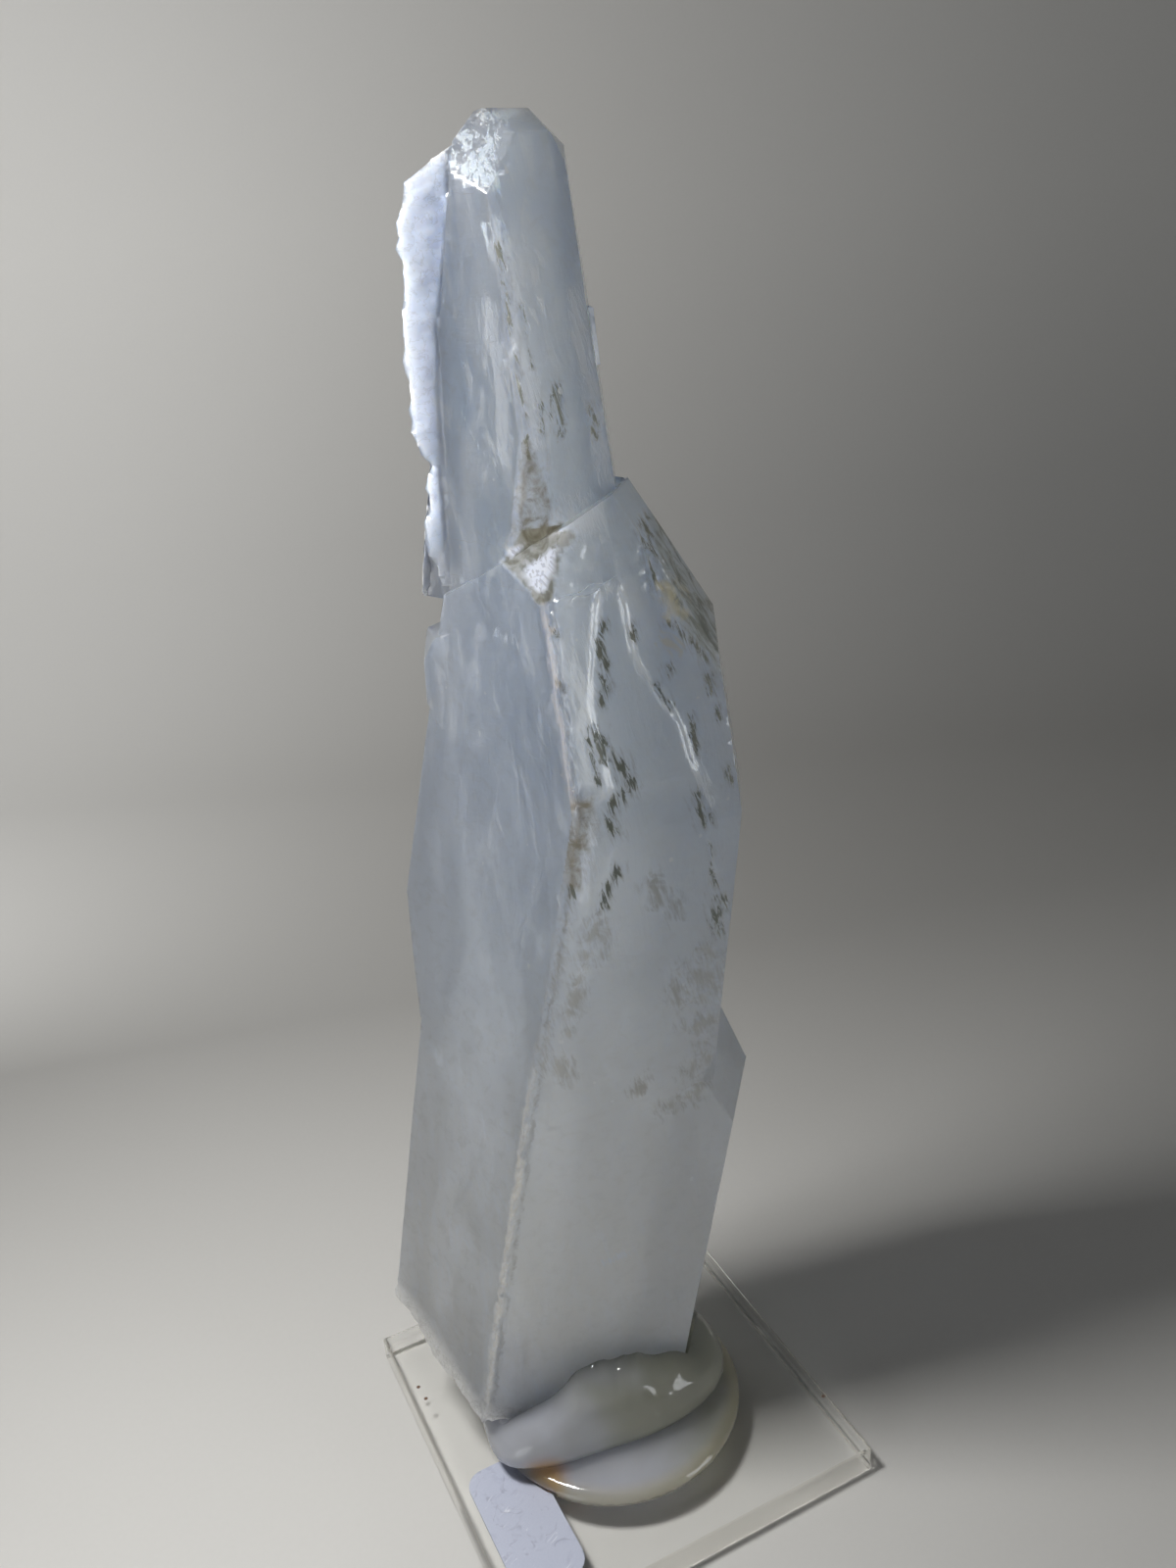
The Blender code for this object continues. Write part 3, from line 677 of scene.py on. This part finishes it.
def make_crystal(settings):
    """The crystal with its worked surface and its marks."""
    bm = node_copy("faden_quartz")
    top = max(vert.co.z for vert in bm.verts)
    lattice(bm, settings.pitch / MM)
    even_fin(bm)
    ease_layers(bm)
    spots = np.array([face.calc_center_median()[:] for face in bm.faces])
    seam = seam_distance(spots)
    crevice = stroke_level(spots[:, 0], spots[:, 2], CREVICES)
    close = (np.abs(seam) < 1.2) | (crevice > -0.6) & right_of_ridge(spots, seam)
    bm.faces.ensure_lookup_table()
    split_faces(bm, [bm.faces[i] for i in np.flatnonzero(close)])
    spots = places(bm)
    seam = seam_distance(spots)
    marks = quartz_marks(spots, seam, right_of_ridge(spots, seam))
    work_surface(bm, spots, seam, marks["rim"], marks["rough"], marks["mirror"])
    for vert in bm.verts:
        vert.co.z = min(vert.co.z, top)
    piece = finish_mesh(bm, "quartz_crystal", 22.0)
    for name, values in marks.items():
        add_mark(piece, name, values)
    return piece


# ------------------------------------------------------------------ materials


class Finish:
    """Lays out the nodes of one material."""

    def __init__(self, name):
        self.material = bpy.data.materials.new(name)
        self.material.use_nodes = True
        self.tree = self.material.node_tree
        self.shader = self.tree.nodes["Principled BSDF"]
        self.output = self.tree.nodes["Material Output"]

    def feed(self, socket, value):
        """Link an output to a socket, or set the socket to a constant."""
        if isinstance(value, bpy.types.NodeSocket):
            self.tree.links.new(value, socket)
        elif isinstance(socket.default_value, float):
            socket.default_value = value
        else:
            size = len(socket.default_value)
            value = tuple(value) if not isinstance(value, float) else (value,) * 3
            socket.default_value = (*value, 1.0)[:size]

    def set(self, **inputs):
        """Set inputs of the shader, with underscores for spaces."""
        for name, value in inputs.items():
            self.feed(self.shader.inputs[name.replace("_", " ")], value)

    def add(self, kind, inputs, **values):
        """A new node with these properties, fed with these inputs."""
        node = self.tree.nodes.new("ShaderNode" + kind)
        for name, value in values.items():
            setattr(node, name, value)
        for name, value in inputs.items():
            self.feed(node.inputs[name], value)
        return node

    def mapped(self, vector, **inputs):
        """A coordinate that is moved, turned or stretched."""
        return self.add("Mapping", {"Vector": vector, **inputs}).outputs["Vector"]

    def place(self, turn=0.0, scale=(1.0, 1.0, 1.0), tilt=0.0):
        """Coordinates on the piece in millimetres, leaned over and stretched by a scale."""
        place = self.add("TexCoord", {}).outputs["Object"]
        place = self.mapped(place, Rotation=(0.0, 0.0, -turn), Scale=(1000.0, 1000.0, 1000.0))
        if tilt:
            place = self.mapped(place, Rotation=(0.0, math.radians(tilt), 0.0))
        return self.mapped(place, Scale=scale)

    def noise(self, vector, scale=1.0, detail=3.0, roughness=0.5, distortion=0.0):
        """Soft noise from 0 to 1."""
        inputs = {"Vector": vector, "Scale": scale, "Detail": detail, "Roughness": roughness}
        return self.add("TexNoise", {**inputs, "Distortion": distortion}).outputs["Fac"]

    def mark(self, name):
        """A value stored on the points of the mesh."""
        return self.add("Attribute", {}, attribute_name=name).outputs["Fac"]

    def sum(self, operation, first, second=0.0, clamp=False):
        """Arithmetic on two values."""
        inputs = {0: first, 1: second}
        return self.add("Math", inputs, operation=operation, use_clamp=clamp).outputs[0]

    def chain(self, operation, values):
        """The same arithmetic on several values, from the first to the last."""
        total = values[0]
        for value in values[1:]:
            total = self.sum(operation, total, value)
        return total

    def plus(self, *values):
        """All these values added up."""
        return self.chain("ADD", values)

    def minus(self, *values):
        """The first value without the others."""
        return self.chain("SUBTRACT", values)

    def times(self, *values):
        """All these values multiplied."""
        return self.chain("MULTIPLY", values)

    def most(self, *values):
        """The largest of these values."""
        return self.chain("MAXIMUM", values)

    def size(self, value):
        """The value without its sign."""
        return self.sum("ABSOLUTE", value)

    def step(self, value, low, high, out_low=0.0, out_high=1.0):
        """Smooth step of a value between two limits."""
        inputs = {"Value": value, "From Min": low, "From Max": high}
        inputs.update({"To Min": out_low, "To Max": out_high})
        return self.add("MapRange", inputs, interpolation_type="SMOOTHSTEP").outputs["Result"]

    def blend(self, share, first, second):
        """Mix of two colours."""
        return self.add("Mix", {0: share, 6: first, 7: second}, data_type="RGBA").outputs[2]

    def height(self, vector):
        """The up part of a coordinate."""
        return self.add("SeparateXYZ", {0: vector}).outputs["Z"]

    def edge_reach(self, vector):
        """How far out a place lies from the middle of the base, along its sides."""
        parts = self.add("SeparateXYZ", {0: vector}).outputs
        return self.most(self.size(parts["X"]), self.size(parts["Y"]))

    def away_from(self, vector, centre, flat=False):
        """Distance from a point in millimetres, or from an upright line through it when flat."""
        scale = (1.0, 1.0, 0.0 if flat else 1.0)
        moved = self.mapped(vector, Location=[-value for value in centre], Scale=scale)
        return self.add("VectorMath", {0: moved}, operation="LENGTH").outputs["Value"]

    def bump(self, value, strength, distance):
        """Fine relief on the shader's normal."""
        node = self.add("Bump", {"Strength": strength, "Distance": distance, "Height": value})
        self.set(Normal=node.outputs["Normal"])

    def absorb(self, colour, density):
        """Let the inside of the piece swallow a little light."""
        node = self.add("VolumeAbsorption", {"Color": colour, "Density": density})
        self.feed(self.output.inputs["Volume"], node.outputs["Volume"])


def quartz_finish(settings):
    """Cloudy, glossy quartz with green crevices and a pale seam."""
    look = Finish("cloudy_quartz")
    place = look.place(SPECIMEN_TURN)
    height = look.height(place)
    veil = look.noise(look.place(SPECIMEN_TURN, (0.16, 0.16, 0.05)), 1.0, 4.0, 0.55, 0.5)
    wisp = look.noise(look.place(SPECIMEN_TURN, (0.5, 0.5, 0.14), 8.0), 1.0, 5.0, 0.62, 1.0)
    mottle = look.noise(place, 0.8, 5.0, 0.62, 0.5)
    grain = look.noise(place, 2.2, 4.0, 0.6)
    streak = look.noise(look.place(SPECIMEN_TURN, (2.5, 2.5, 0.4), 14.0), 1.0, 4.0, 0.66, 0.7)
    curl = look.noise(look.place(SPECIMEN_TURN, (0.55, 0.55, 0.4), 20.0), 1.0, 3.0, 0.5, 1.4)

    # Body: cloudy above the step and clearer below it, milky on the right of the ridge
    rise = look.step(height, 20.0, 112.0)
    colour = look.blend(rise, settings.body_low, settings.body_high)
    wisps = look.times(look.step(wisp, 0.48, 0.74), look.step(height, 60.0, 115.0, 0.4, 0.95))
    cloud = look.plus(look.step(veil, 0.3, 0.74, 0.05, 0.7), wisps)
    colour = look.blend(look.sum("MULTIPLY", cloud, 0.75, clamp=True), colour, settings.pale)
    colour = look.blend(look.step(mottle, 0.46, 0.74, 0.0, 0.24), colour, MOTTLED)
    cloudy = look.times(look.step(veil, 0.42, 0.6, 0.0, 0.5), look.step(height, 97.0, 103.0))
    colour = look.blend(cloudy, colour, settings.pale)
    calm = look.step(height, 93.0, 99.0, 1.0, 0.0)
    calm = look.times(look.step(height, 58.0, 74.0, 0.0, 0.3), calm)
    colour = look.blend(calm, colour, CALM)
    milky = look.step(look.mark("milky"), 0.0, 1.0, 0.0, 0.45)
    colour = look.blend(milky, colour, look.blend(rise, MILKY_LOW, MILKY_HIGH))

    # Strokes: pale edges, partly a painted highlight on the point's left facet, stains, olive
    # patches and green crevices
    pale = look.plus(look.mark("pale"), look.step(streak, 0.25, 0.75, -0.9, 0.5))
    pale = look.step(pale, 0.05, 0.7)
    share = look.times(pale, look.step(height, 96.0, 104.0, 0.5, 0.65))
    colour = look.blend(share, colour, settings.pale)
    curled = look.step(curl, 0.3, 0.7, -0.6, 0.4)
    stain = look.plus(look.mark("stain"), curled, look.step(streak, 0.3, 0.7, -0.5, 0.35))
    stain = look.step(stain, -0.5, 1.2, 0.0, 0.6)
    colour = look.blend(stain, colour, settings.stain)
    olive = look.plus(look.mark("olive"), look.step(wisp, 0.3, 0.7, -0.5, 0.5))
    olive = look.step(olive, -0.4, 0.9, 0.0, 0.9)
    olive = look.times(olive, look.step(mottle, 0.35, 0.65, 0.55, 1.0))
    colour = look.blend(olive, colour, look.blend(rise, OLIVE_LOW, OLIVE_HIGH))
    dark = look.plus(look.mark("crevice"), look.step(streak, 0.28, 0.72, -0.9, 0.7))
    smudge = look.step(dark, -0.4, 0.9, 0.0, 0.42)
    dark = look.step(dark, 0.4, 1.0)
    colour = look.blend(smudge, colour, settings.stain)
    colour = look.blend(look.times(dark, 0.9), colour, settings.chlorite)

    # Right shoulder: its green end and its cream patches
    end_place = look.place(SPECIMEN_TURN, (1.5, 0.8, 0.32), 28.0)
    end_streak = look.noise(end_place, 1.0, 5.0, 0.7, 0.8)
    end = look.times(look.mark("chlorite"), look.step(end_streak, 0.36, 0.6, 0.5, 1.0))
    green = look.blend(look.step(end_streak, 0.4, 0.6), GREEN_END_PALE, GREEN_END_DARK)
    colour = look.blend(look.times(end, 0.9), colour, green)
    cream = look.step(look.plus(look.mark("cream"), curled), 0.1, 0.9, 0.0, 0.6)
    colour = look.blend(cream, colour, CREAM)

    # Seam: the pale rim, worn higher up, and the thin groove beside it
    worn = look.step(height, 93.0, 96.0, 1.0, 0.0)
    worn = look.times(look.step(height, 76.0, 80.0, 0.0, 0.45), worn)
    wander = look.step(look.noise(place, 0.55, 3.0, 0.6), 0.2, 0.8, -0.3, 0.3)
    beside = look.plus(look.mark("seam"), wander)
    rim = look.plus(look.size(beside), look.step(grain, 0.3, 0.7, 0.0, 0.35))
    rim = look.times(look.step(rim, 0.25, 0.75, 1.0, 0.0), look.plus(look.mark("rim"), worn))
    rim = look.times(rim, look.step(grain, 0.3, 0.6, 0.4, 0.9))
    colour = look.blend(rim, colour, look.blend(worn, settings.rim, WORN_RIDGE))
    line = look.size(look.minus(beside, GROOVE_AT))
    line = look.step(look.plus(line, look.step(mottle, 0.3, 0.7, 0.0, 0.4)), 0.15, 0.5, 0.5, 0.0)
    line = look.times(line, look.step(wisp, 0.4, 0.58, 0.25, 1.0))
    colour = look.blend(line, colour, GROOVE)
    glint = look.step(look.noise(place, 1.1, 0.0, 0.0), 0.84, 0.88, 0.0, 0.6)
    colour = look.blend(glint, colour, GLINT)

    # Fin and foot: white and cracked
    rough = look.mark("rough")
    white = look.times(rough, look.step(look.plus(grain, wisp), 0.75, 1.15, 0.6, 0.95))
    colour = look.blend(white, colour, look.blend(rise, BROKEN_LOW, BROKEN_HIGH))
    cracked = look.times(rough, look.step(height, 20.0, 40.0, 1.0, 0.5))
    crack = look.step(look.size(look.minus(mottle, 0.5)), 0.0, 0.03, 0.6, 0.0)
    colour = look.blend(look.times(crack, cracked), colour, CRACK)

    # Step: the dark ledge, and the facets with a painted reflection of the light
    ledge = look.mark("step")
    shade = look.blend(look.step(curl, 0.4, 0.6), LEDGE_PALE, LEDGE_DARK)
    colour = look.blend(look.times(ledge, 0.9), colour, shade)
    mirror = look.times(look.mark("mirror"), look.step(stain, 0.1, 0.5, 1.0, 0.0))
    scored = look.noise(look.place(SPECIMEN_TURN, (3.4, 3.4, 0.12), 38.0), 1.0, 1.0, 0.4)
    scored = look.times(look.step(scored, 0.5, 0.6), mirror)
    shine = look.blend(ledge, PAINTED_FACET_REFLECTION, PAINTED_REFLECTION_ON_LEDGE)
    colour = look.blend(mirror, colour, look.blend(scored, shine, SCORED))

    # How frosted, how clear and how rough it is
    frost = look.most(
        look.times(pale, look.step(height, 118.0, 123.0)),
        look.step(height, 122.0, 128.0, 0.0, 0.35),
        look.times(rough, look.step(height, 60.0, 90.0)),
    )
    opaque = look.most(dark, stain, olive, rim, end, ledge, mirror, look.times(rough, 0.8))
    clear = look.times(
        look.step(opaque, 0.0, 1.0, settings.clarity, 0.05),
        look.step(look.mark("milky"), 0.0, 1.0, 1.0, 0.76),
        look.step(pale, 0.0, 1.0, 1.0, 0.65),
        look.step(cloud, 0.0, 1.2, 1.02, 0.68),
    )
    worked = look.most(rim, rough, look.times(ledge, 2.4))
    dull = look.most(rim, dark, ledge, olive, look.minus(rough, look.times(frost, 0.6)))
    look.set(
        Base_Color=colour,
        Roughness=look.step(worked, 0.0, 2.4, 0.36, 0.98),
        IOR=1.544,
        Transmission_Weight=clear,
        Coat_Weight=look.step(dull, 0.0, 0.96, 0.9, 0.0),
        Coat_Roughness=settings.coat_roughness,
        Coat_IOR=1.5,
        Subsurface_Weight=1.0,
        Subsurface_Scale=look.step(frost, 0.0, 0.8, 0.055, 0.006),
    )
    look.shader.subsurface_method = "RANDOM_WALK"
    look.shader.inputs["Subsurface Radius"].default_value = (1.1, 1.0, 0.85)
    ticks = look.noise(look.place(SPECIMEN_TURN, (0.6, 0.6, 3.2)), 1.0, 3.0, 0.5)
    relief = look.plus(look.times(ticks, 0.2), look.times(grain, 0.25), look.times(wisp, 0.8))
    relief = look.plus(look.minus(relief, look.times(dark, 1.2)), look.times(pale, 0.3))
    look.bump(relief, 0.4, 0.2 * MM)
    look.absorb((0.84, 0.86, 0.87), 70.0)
    return look.material


def glue_finish(name, settings, middle, reach, turn):
    """Hazy glue, bluish on the left and olive towards the right, with painted warm caustic light at
    its thin rim and a painted orange glow near the pad's front left edge.
    """
    look = Finish(name)
    place = look.place(SPECIMEN_TURN)
    haze = look.noise(place, 0.14, 2.0, 0.45, 0.2)
    across = look.away_from(place, (-40.0, 0.0, 0.0), flat=True)
    across = look.plus(across, look.step(haze, 0.2, 0.8, -4.0, 4.0))
    colour = look.blend(look.step(across, turn, turn + 16.0), settings.milky, settings.olive)
    # Painted caustic light: a warm band where the glue thins out at its rim, and a painted orange
    # glow near the pad's front left edge
    thin = look.step(look.away_from(look.place(), middle, flat=True), 0.86 * reach, reach)
    colour = look.blend(look.times(thin, 0.7), colour, settings.painted_caustic)
    glow = look.step(look.away_from(look.place(), (-11.6, -7.4, 4.6)), 0.8, 3.4, 0.9, 0.0)
    colour = look.blend(glow, colour, (0.80, 0.42, 0.16))
    look.set(
        Base_Color=colour,
        Roughness=0.06,
        IOR=1.48,
        Transmission_Weight=look.step(across, turn, turn + 16.0, 0.5, 0.66),
        Subsurface_Weight=1.0,
        Subsurface_Scale=0.008,
    )
    look.shader.inputs["Subsurface Radius"].default_value = (1.0, 1.0, 1.0)
    look.absorb((0.84, 0.81, 0.70), 50.0)
    return look.material


def acrylic_finish(settings):
    """Clear acrylic with sawn edges, handling marks and a few specks of dirt."""
    look = Finish("clear_acrylic")
    place = look.place()
    smear = look.noise(place, 0.12, 4.0, 0.6, 0.6)
    dust = look.noise(place, 3.0, 2.0, 0.5)
    specks = []
    for centre, size in SPECKS:
        spot = look.step(look.away_from(place, centre), 0.5 * size, size, 1.0, 0.0)
        specks.append(spot)
    speck = look.most(*specks)
    wall = look.step(look.edge_reach(place), 19.6, 19.8)
    clean = look.blend(wall, settings.tint, settings.wall)
    handled = look.plus(smear, look.step(dust, 0.6, 0.8, 0.0, 0.2))
    look.set(
        Base_Color=look.blend(speck, clean, (0.16, 0.09, 0.06)),
        Roughness=look.step(handled, 0.4, 0.8, 0.02, 0.12),
        IOR=1.49,
        Transmission_Weight=look.step(speck, 0.0, 1.0, 0.96, 0.0),
        Alpha=look.most(look.step(wall, 0.0, 1.0, 0.07, 1.0), speck),
    )
    look.absorb((0.86, 0.88, 0.80), 18.0)
    return look.material


def paper_finish(settings):
    """Worn paper with faint scuffs, rubs and scratches."""
    look = Finish("worn_paper")
    place = look.place()
    fibre = look.noise(place, 6.0, 4.0, 0.6)
    scuff = look.noise(place, 0.45, 5.0, 0.6, 1.2)
    colour = look.blend(look.step(fibre, 0.35, 0.65, 0.0, 0.18), settings.paper, (0.62, 0.64, 0.74))
    colour = look.blend(look.step(scuff, 0.52, 0.68, 0.0, 0.35), colour, (0.36, 0.38, 0.50))
    rub = look.size(look.minus(look.noise(place, 0.3, 2.0, 0.4, 1.4), 0.5))
    rub = look.times(look.step(rub, 0.0, 0.03, 0.5, 0.0), look.step(scuff, 0.45, 0.6))
    colour = look.blend(rub, colour, (0.30, 0.31, 0.40))
    scratch = look.noise(look.place(35.0, (0.12, 1.6, 1.0)), 1.0, 2.0, 0.5)
    scratch = look.step(look.size(look.minus(scratch, 0.42)), 0.0, 0.01, 0.7, 0.0)
    scratch = look.times(scratch, look.step(scuff, 0.5, 0.6))
    colour = look.blend(scratch, colour, (0.90, 0.91, 0.95))
    look.set(Base_Color=colour, Roughness=look.step(scuff, 0.3, 0.7, 0.35, 0.6), IOR=1.45)
    look.bump(fibre, 0.25, 0.05 * MM)
    return look.material


def floor_finish(settings):
    """Matt pale paper."""
    look = Finish("pale_sweep")
    fibre = look.noise(look.place(), 1.5, 3.0, 0.5)
    flecks = look.step(fibre, 0.3, 0.7, 0.0, 0.06)
    colour = look.blend(flecks, settings.floor_colour, (0.55, 0.54, 0.51))
    look.set(Base_Color=colour, Roughness=0.9, Specular_IOR_Level=0.2)
    return look.material


# ------------------------------------------------------------------ operators


class FINISH_OT_crystal(Operator):
    """Work the crystal's surface and give it its quartz"""

    bl_idname = "finish.crystal"
    bl_label = "Crystal"

    def execute(self, context):
        settings = context.scene.crystal_settings
        piece = make_crystal(settings)
        attach(piece, quartz_finish(settings), "faden_quartz")
        return {"FINISHED"}


def wave_at(across):
    """How far the glue's upper edge climbs or sinks here."""
    return float(along(across, GLUE_WAVE)) + 0.25 * uneven((across, 0.0, 0.0), 1.3, 9.0)


def smooth_glue(node, name, settings, drop=0.0):
    """Copy a piece of glue, round off its facets and set its foot down on what carries it."""
    bm = node_copy(node)
    lattice(bm, settings.pitch / MM)
    cut_large_faces(bm)
    bm.normal_update()
    sharp = set()
    for edge in bm.edges:
        if len(edge.link_faces) == 2 and edge.calc_face_angle(0.0) > math.radians(GLUE_SHARP):
            sharp.update(edge.verts)
    soften(bm, [vert for vert in bm.verts if vert not in sharp], settings.rounds)
    for vert in bm.verts:
        if vert.co.z < PAD_FOOT:
            vert.co.z -= drop
        elif vert.co.z > WAVE_FOOT and vert.co.y < 4.0:
            vert.co.z += wave_at(vert.co.x) * min((vert.co.z - WAVE_FOOT) / 2.5, 1.0)
    return finish_mesh(bm, name, GLUE_SHARP)


class FINISH_OT_glue(Operator):
    """Round off the collar and the pad and give them their clear glue"""

    bl_idname = "finish.glue"
    bl_label = "Glue"

    def execute(self, context):
        settings = context.scene.glue_settings
        collar = smooth_glue("glue_collar", "collar_of_glue", settings)
        look = glue_finish("collar_glue", settings, (0.0, 0.0, 0.0), 40.0, 30.0)
        attach(collar, look, "glue_collar")
        pad = smooth_glue("glue_pad", "pad_of_glue", settings, PAD_DROP)
        look = glue_finish("pad_glue", settings, (-0.2, -0.4, 0.0), 13.9, 42.0)
        attach(pad, look, "glue_pad")
        return {"FINISHED"}


class FINISH_OT_label(Operator):
    """Lay the slip of paper down on the base"""

    bl_idname = "finish.label"
    bl_label = "Label"

    def execute(self, context):
        settings = context.scene.base_settings
        bm = node_copy("number_label")
        lattice(bm, LABEL_PITCH)
        for vert in bm.verts:
            vert.co.z -= LABEL_DROP
        piece = finish_mesh(bm, "paper_label", 40.0)
        attach(piece, paper_finish(settings), "number_label")
        return {"FINISHED"}


class FINISH_OT_base(Operator):
    """Give the clear base its acrylic"""

    bl_idname = "finish.base"
    bl_label = "Clear base"

    def execute(self, context):
        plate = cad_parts["acrylic_plate"]
        plate.data.materials.clear()
        plate.data.materials.append(acrylic_finish(context.scene.base_settings))
        return {"FINISHED"}


def make_sweep(settings):
    """Floor just below the base that curves up into a wall far behind."""
    bm = bmesh.new()
    profile = [(SWEEP_FRONT, 0.0), (SWEEP_BEND, 0.0)]
    for i in range(1, SWEEP_STEPS + 1):
        angle = math.radians(90.0 * i / SWEEP_STEPS)
        depth = SWEEP_BEND + SWEEP_RADIUS * math.sin(angle)
        profile.append((depth, SWEEP_RADIUS - SWEEP_RADIUS * math.cos(angle)))
    profile.append((SWEEP_BEND + SWEEP_RADIUS, SWEEP_TOP))
    verts = [bm.verts.new((-SWEEP_SIDE, depth, up)) for depth, up in profile]
    edges = [bm.edges.new(pair) for pair in zip(verts, verts[1:])]
    wide = bmesh.ops.extrude_edge_only(bm, edges=edges)
    moved = [item for item in wide["geom"] if isinstance(item, bmesh.types.BMVert)]
    bmesh.ops.translate(bm, verts=moved, vec=(2.0 * SWEEP_SIDE, 0.0, 0.0))
    bmesh.ops.translate(bm, verts=bm.verts[:], vec=(0.0, 0.0, -SWEEP_GAP))
    turn = Matrix.Rotation(SPECIMEN_TURN, 3, "Z")
    bmesh.ops.rotate(bm, verts=bm.verts[:], cent=(0.0, 0.0, 0.0), matrix=turn)
    bmesh.ops.recalc_face_normals(bm, faces=bm.faces[:])
    mesh = bpy.data.meshes.new("sweep")
    bm.to_mesh(mesh)
    bm.free()
    mesh.shade_smooth()
    mesh.materials.append(floor_finish(settings))
    sweep = bpy.data.objects.new("sweep", mesh)
    bpy.context.scene.collection.objects.link(sweep)


def add_light(name, power, size, location, aim, colour):
    """Soft square light that looks at a point."""
    lamp = bpy.data.lights.new(name, "AREA")
    lamp.energy = power
    lamp.size = size
    lamp.color = colour
    item = bpy.data.objects.new(name, lamp)
    item.location = location
    item.rotation_euler = (Vector(aim) - Vector(location)).to_track_quat("-Z", "Y").to_euler()
    item.visible_camera = False
    bpy.context.scene.collection.objects.link(item)


def add_camera():
    """Camera that looks down at the front of the crystal, a little turned."""
    camera = bpy.data.cameras.new("camera")
    camera.sensor_fit = "VERTICAL"
    camera.sensor_height = SENSOR_HEIGHT
    camera.lens = FOCAL_PIXELS * SENSOR_HEIGHT / FRAME_HEIGHT_PIXELS
    camera.clip_start = 0.005
    item = bpy.data.objects.new("camera", camera)
    right = Vector(CAMERA_RIGHT).normalized()
    up = Vector(CAMERA_UP)
    up = (up - right * up.dot(right)).normalized()
    turn = Matrix((right, up, right.cross(up))).transposed().to_4x4()
    item.matrix_world = Matrix.Translation(CAMERA_PLACE) @ turn
    bpy.context.scene.collection.objects.link(item)
    bpy.context.scene.camera = item


class FINISH_OT_stage(Operator):
    """Lay the floor, set the lights and place the camera"""

    bl_idname = "finish.stage"
    bl_label = "Stage"

    def execute(self, context):
        settings = context.scene.stage_settings
        make_sweep(settings)
        for name, setting, share, size, location, aim, colour in LIGHTS:
            power = share * getattr(settings, setting)
            add_light(name, power, size, location, aim, colour)
        world = bpy.data.worlds.new("room")
        world.use_nodes = True
        background = world.node_tree.nodes["Background"]
        background.inputs["Color"].default_value = (0.95, 0.97, 1.0, 1.0)
        background.inputs["Strength"].default_value = settings.sky
        context.scene.world = world
        context.scene.view_settings.view_transform = "Standard"
        add_camera()
        return {"FINISHED"}


class FINISH_PT_panel(Panel):
    """Lists the pieces and their settings"""

    bl_label = "Faden quartz"
    bl_idname = "FINISH_PT_panel"
    bl_space_type = "VIEW_3D"
    bl_region_type = "UI"
    bl_category = "Faden quartz"

    def draw(self, context):
        layout = self.layout
        for kind in OPERATORS:
            layout.operator(kind.bl_idname)
        for name in SETTINGS:
            group = getattr(context.scene, name)
            for key in group.__annotations__:
                layout.prop(group, key)


SETTINGS = {
    "crystal_settings": CrystalSettings,
    "glue_settings": GlueSettings,
    "base_settings": BaseSettings,
    "stage_settings": StageSettings,
}
OPERATORS = (FINISH_OT_crystal, FINISH_OT_glue, FINISH_OT_label, FINISH_OT_base, FINISH_OT_stage)


def register():
    """Add the classes and the scene's settings to Blender."""
    for kind in (*SETTINGS.values(), *OPERATORS, FINISH_PT_panel):
        bpy.utils.register_class(kind)
    for name, kind in SETTINGS.items():
        setattr(bpy.types.Scene, name, PointerProperty(type=kind))


def unregister():
    """Take the classes and the settings away again."""
    for name in SETTINGS:
        delattr(bpy.types.Scene, name)
    for kind in (FINISH_PT_panel, *reversed(OPERATORS), *SETTINGS.values()):
        bpy.utils.unregister_class(kind)


def main():
    """Dress the part, piece by piece."""
    register()
    bpy.ops.finish.crystal()
    bpy.ops.finish.glue()
    bpy.ops.finish.label()
    bpy.ops.finish.base()
    bpy.ops.finish.stage()
    bpy.context.view_layer.update()


if __name__ == "__main__":
    main()
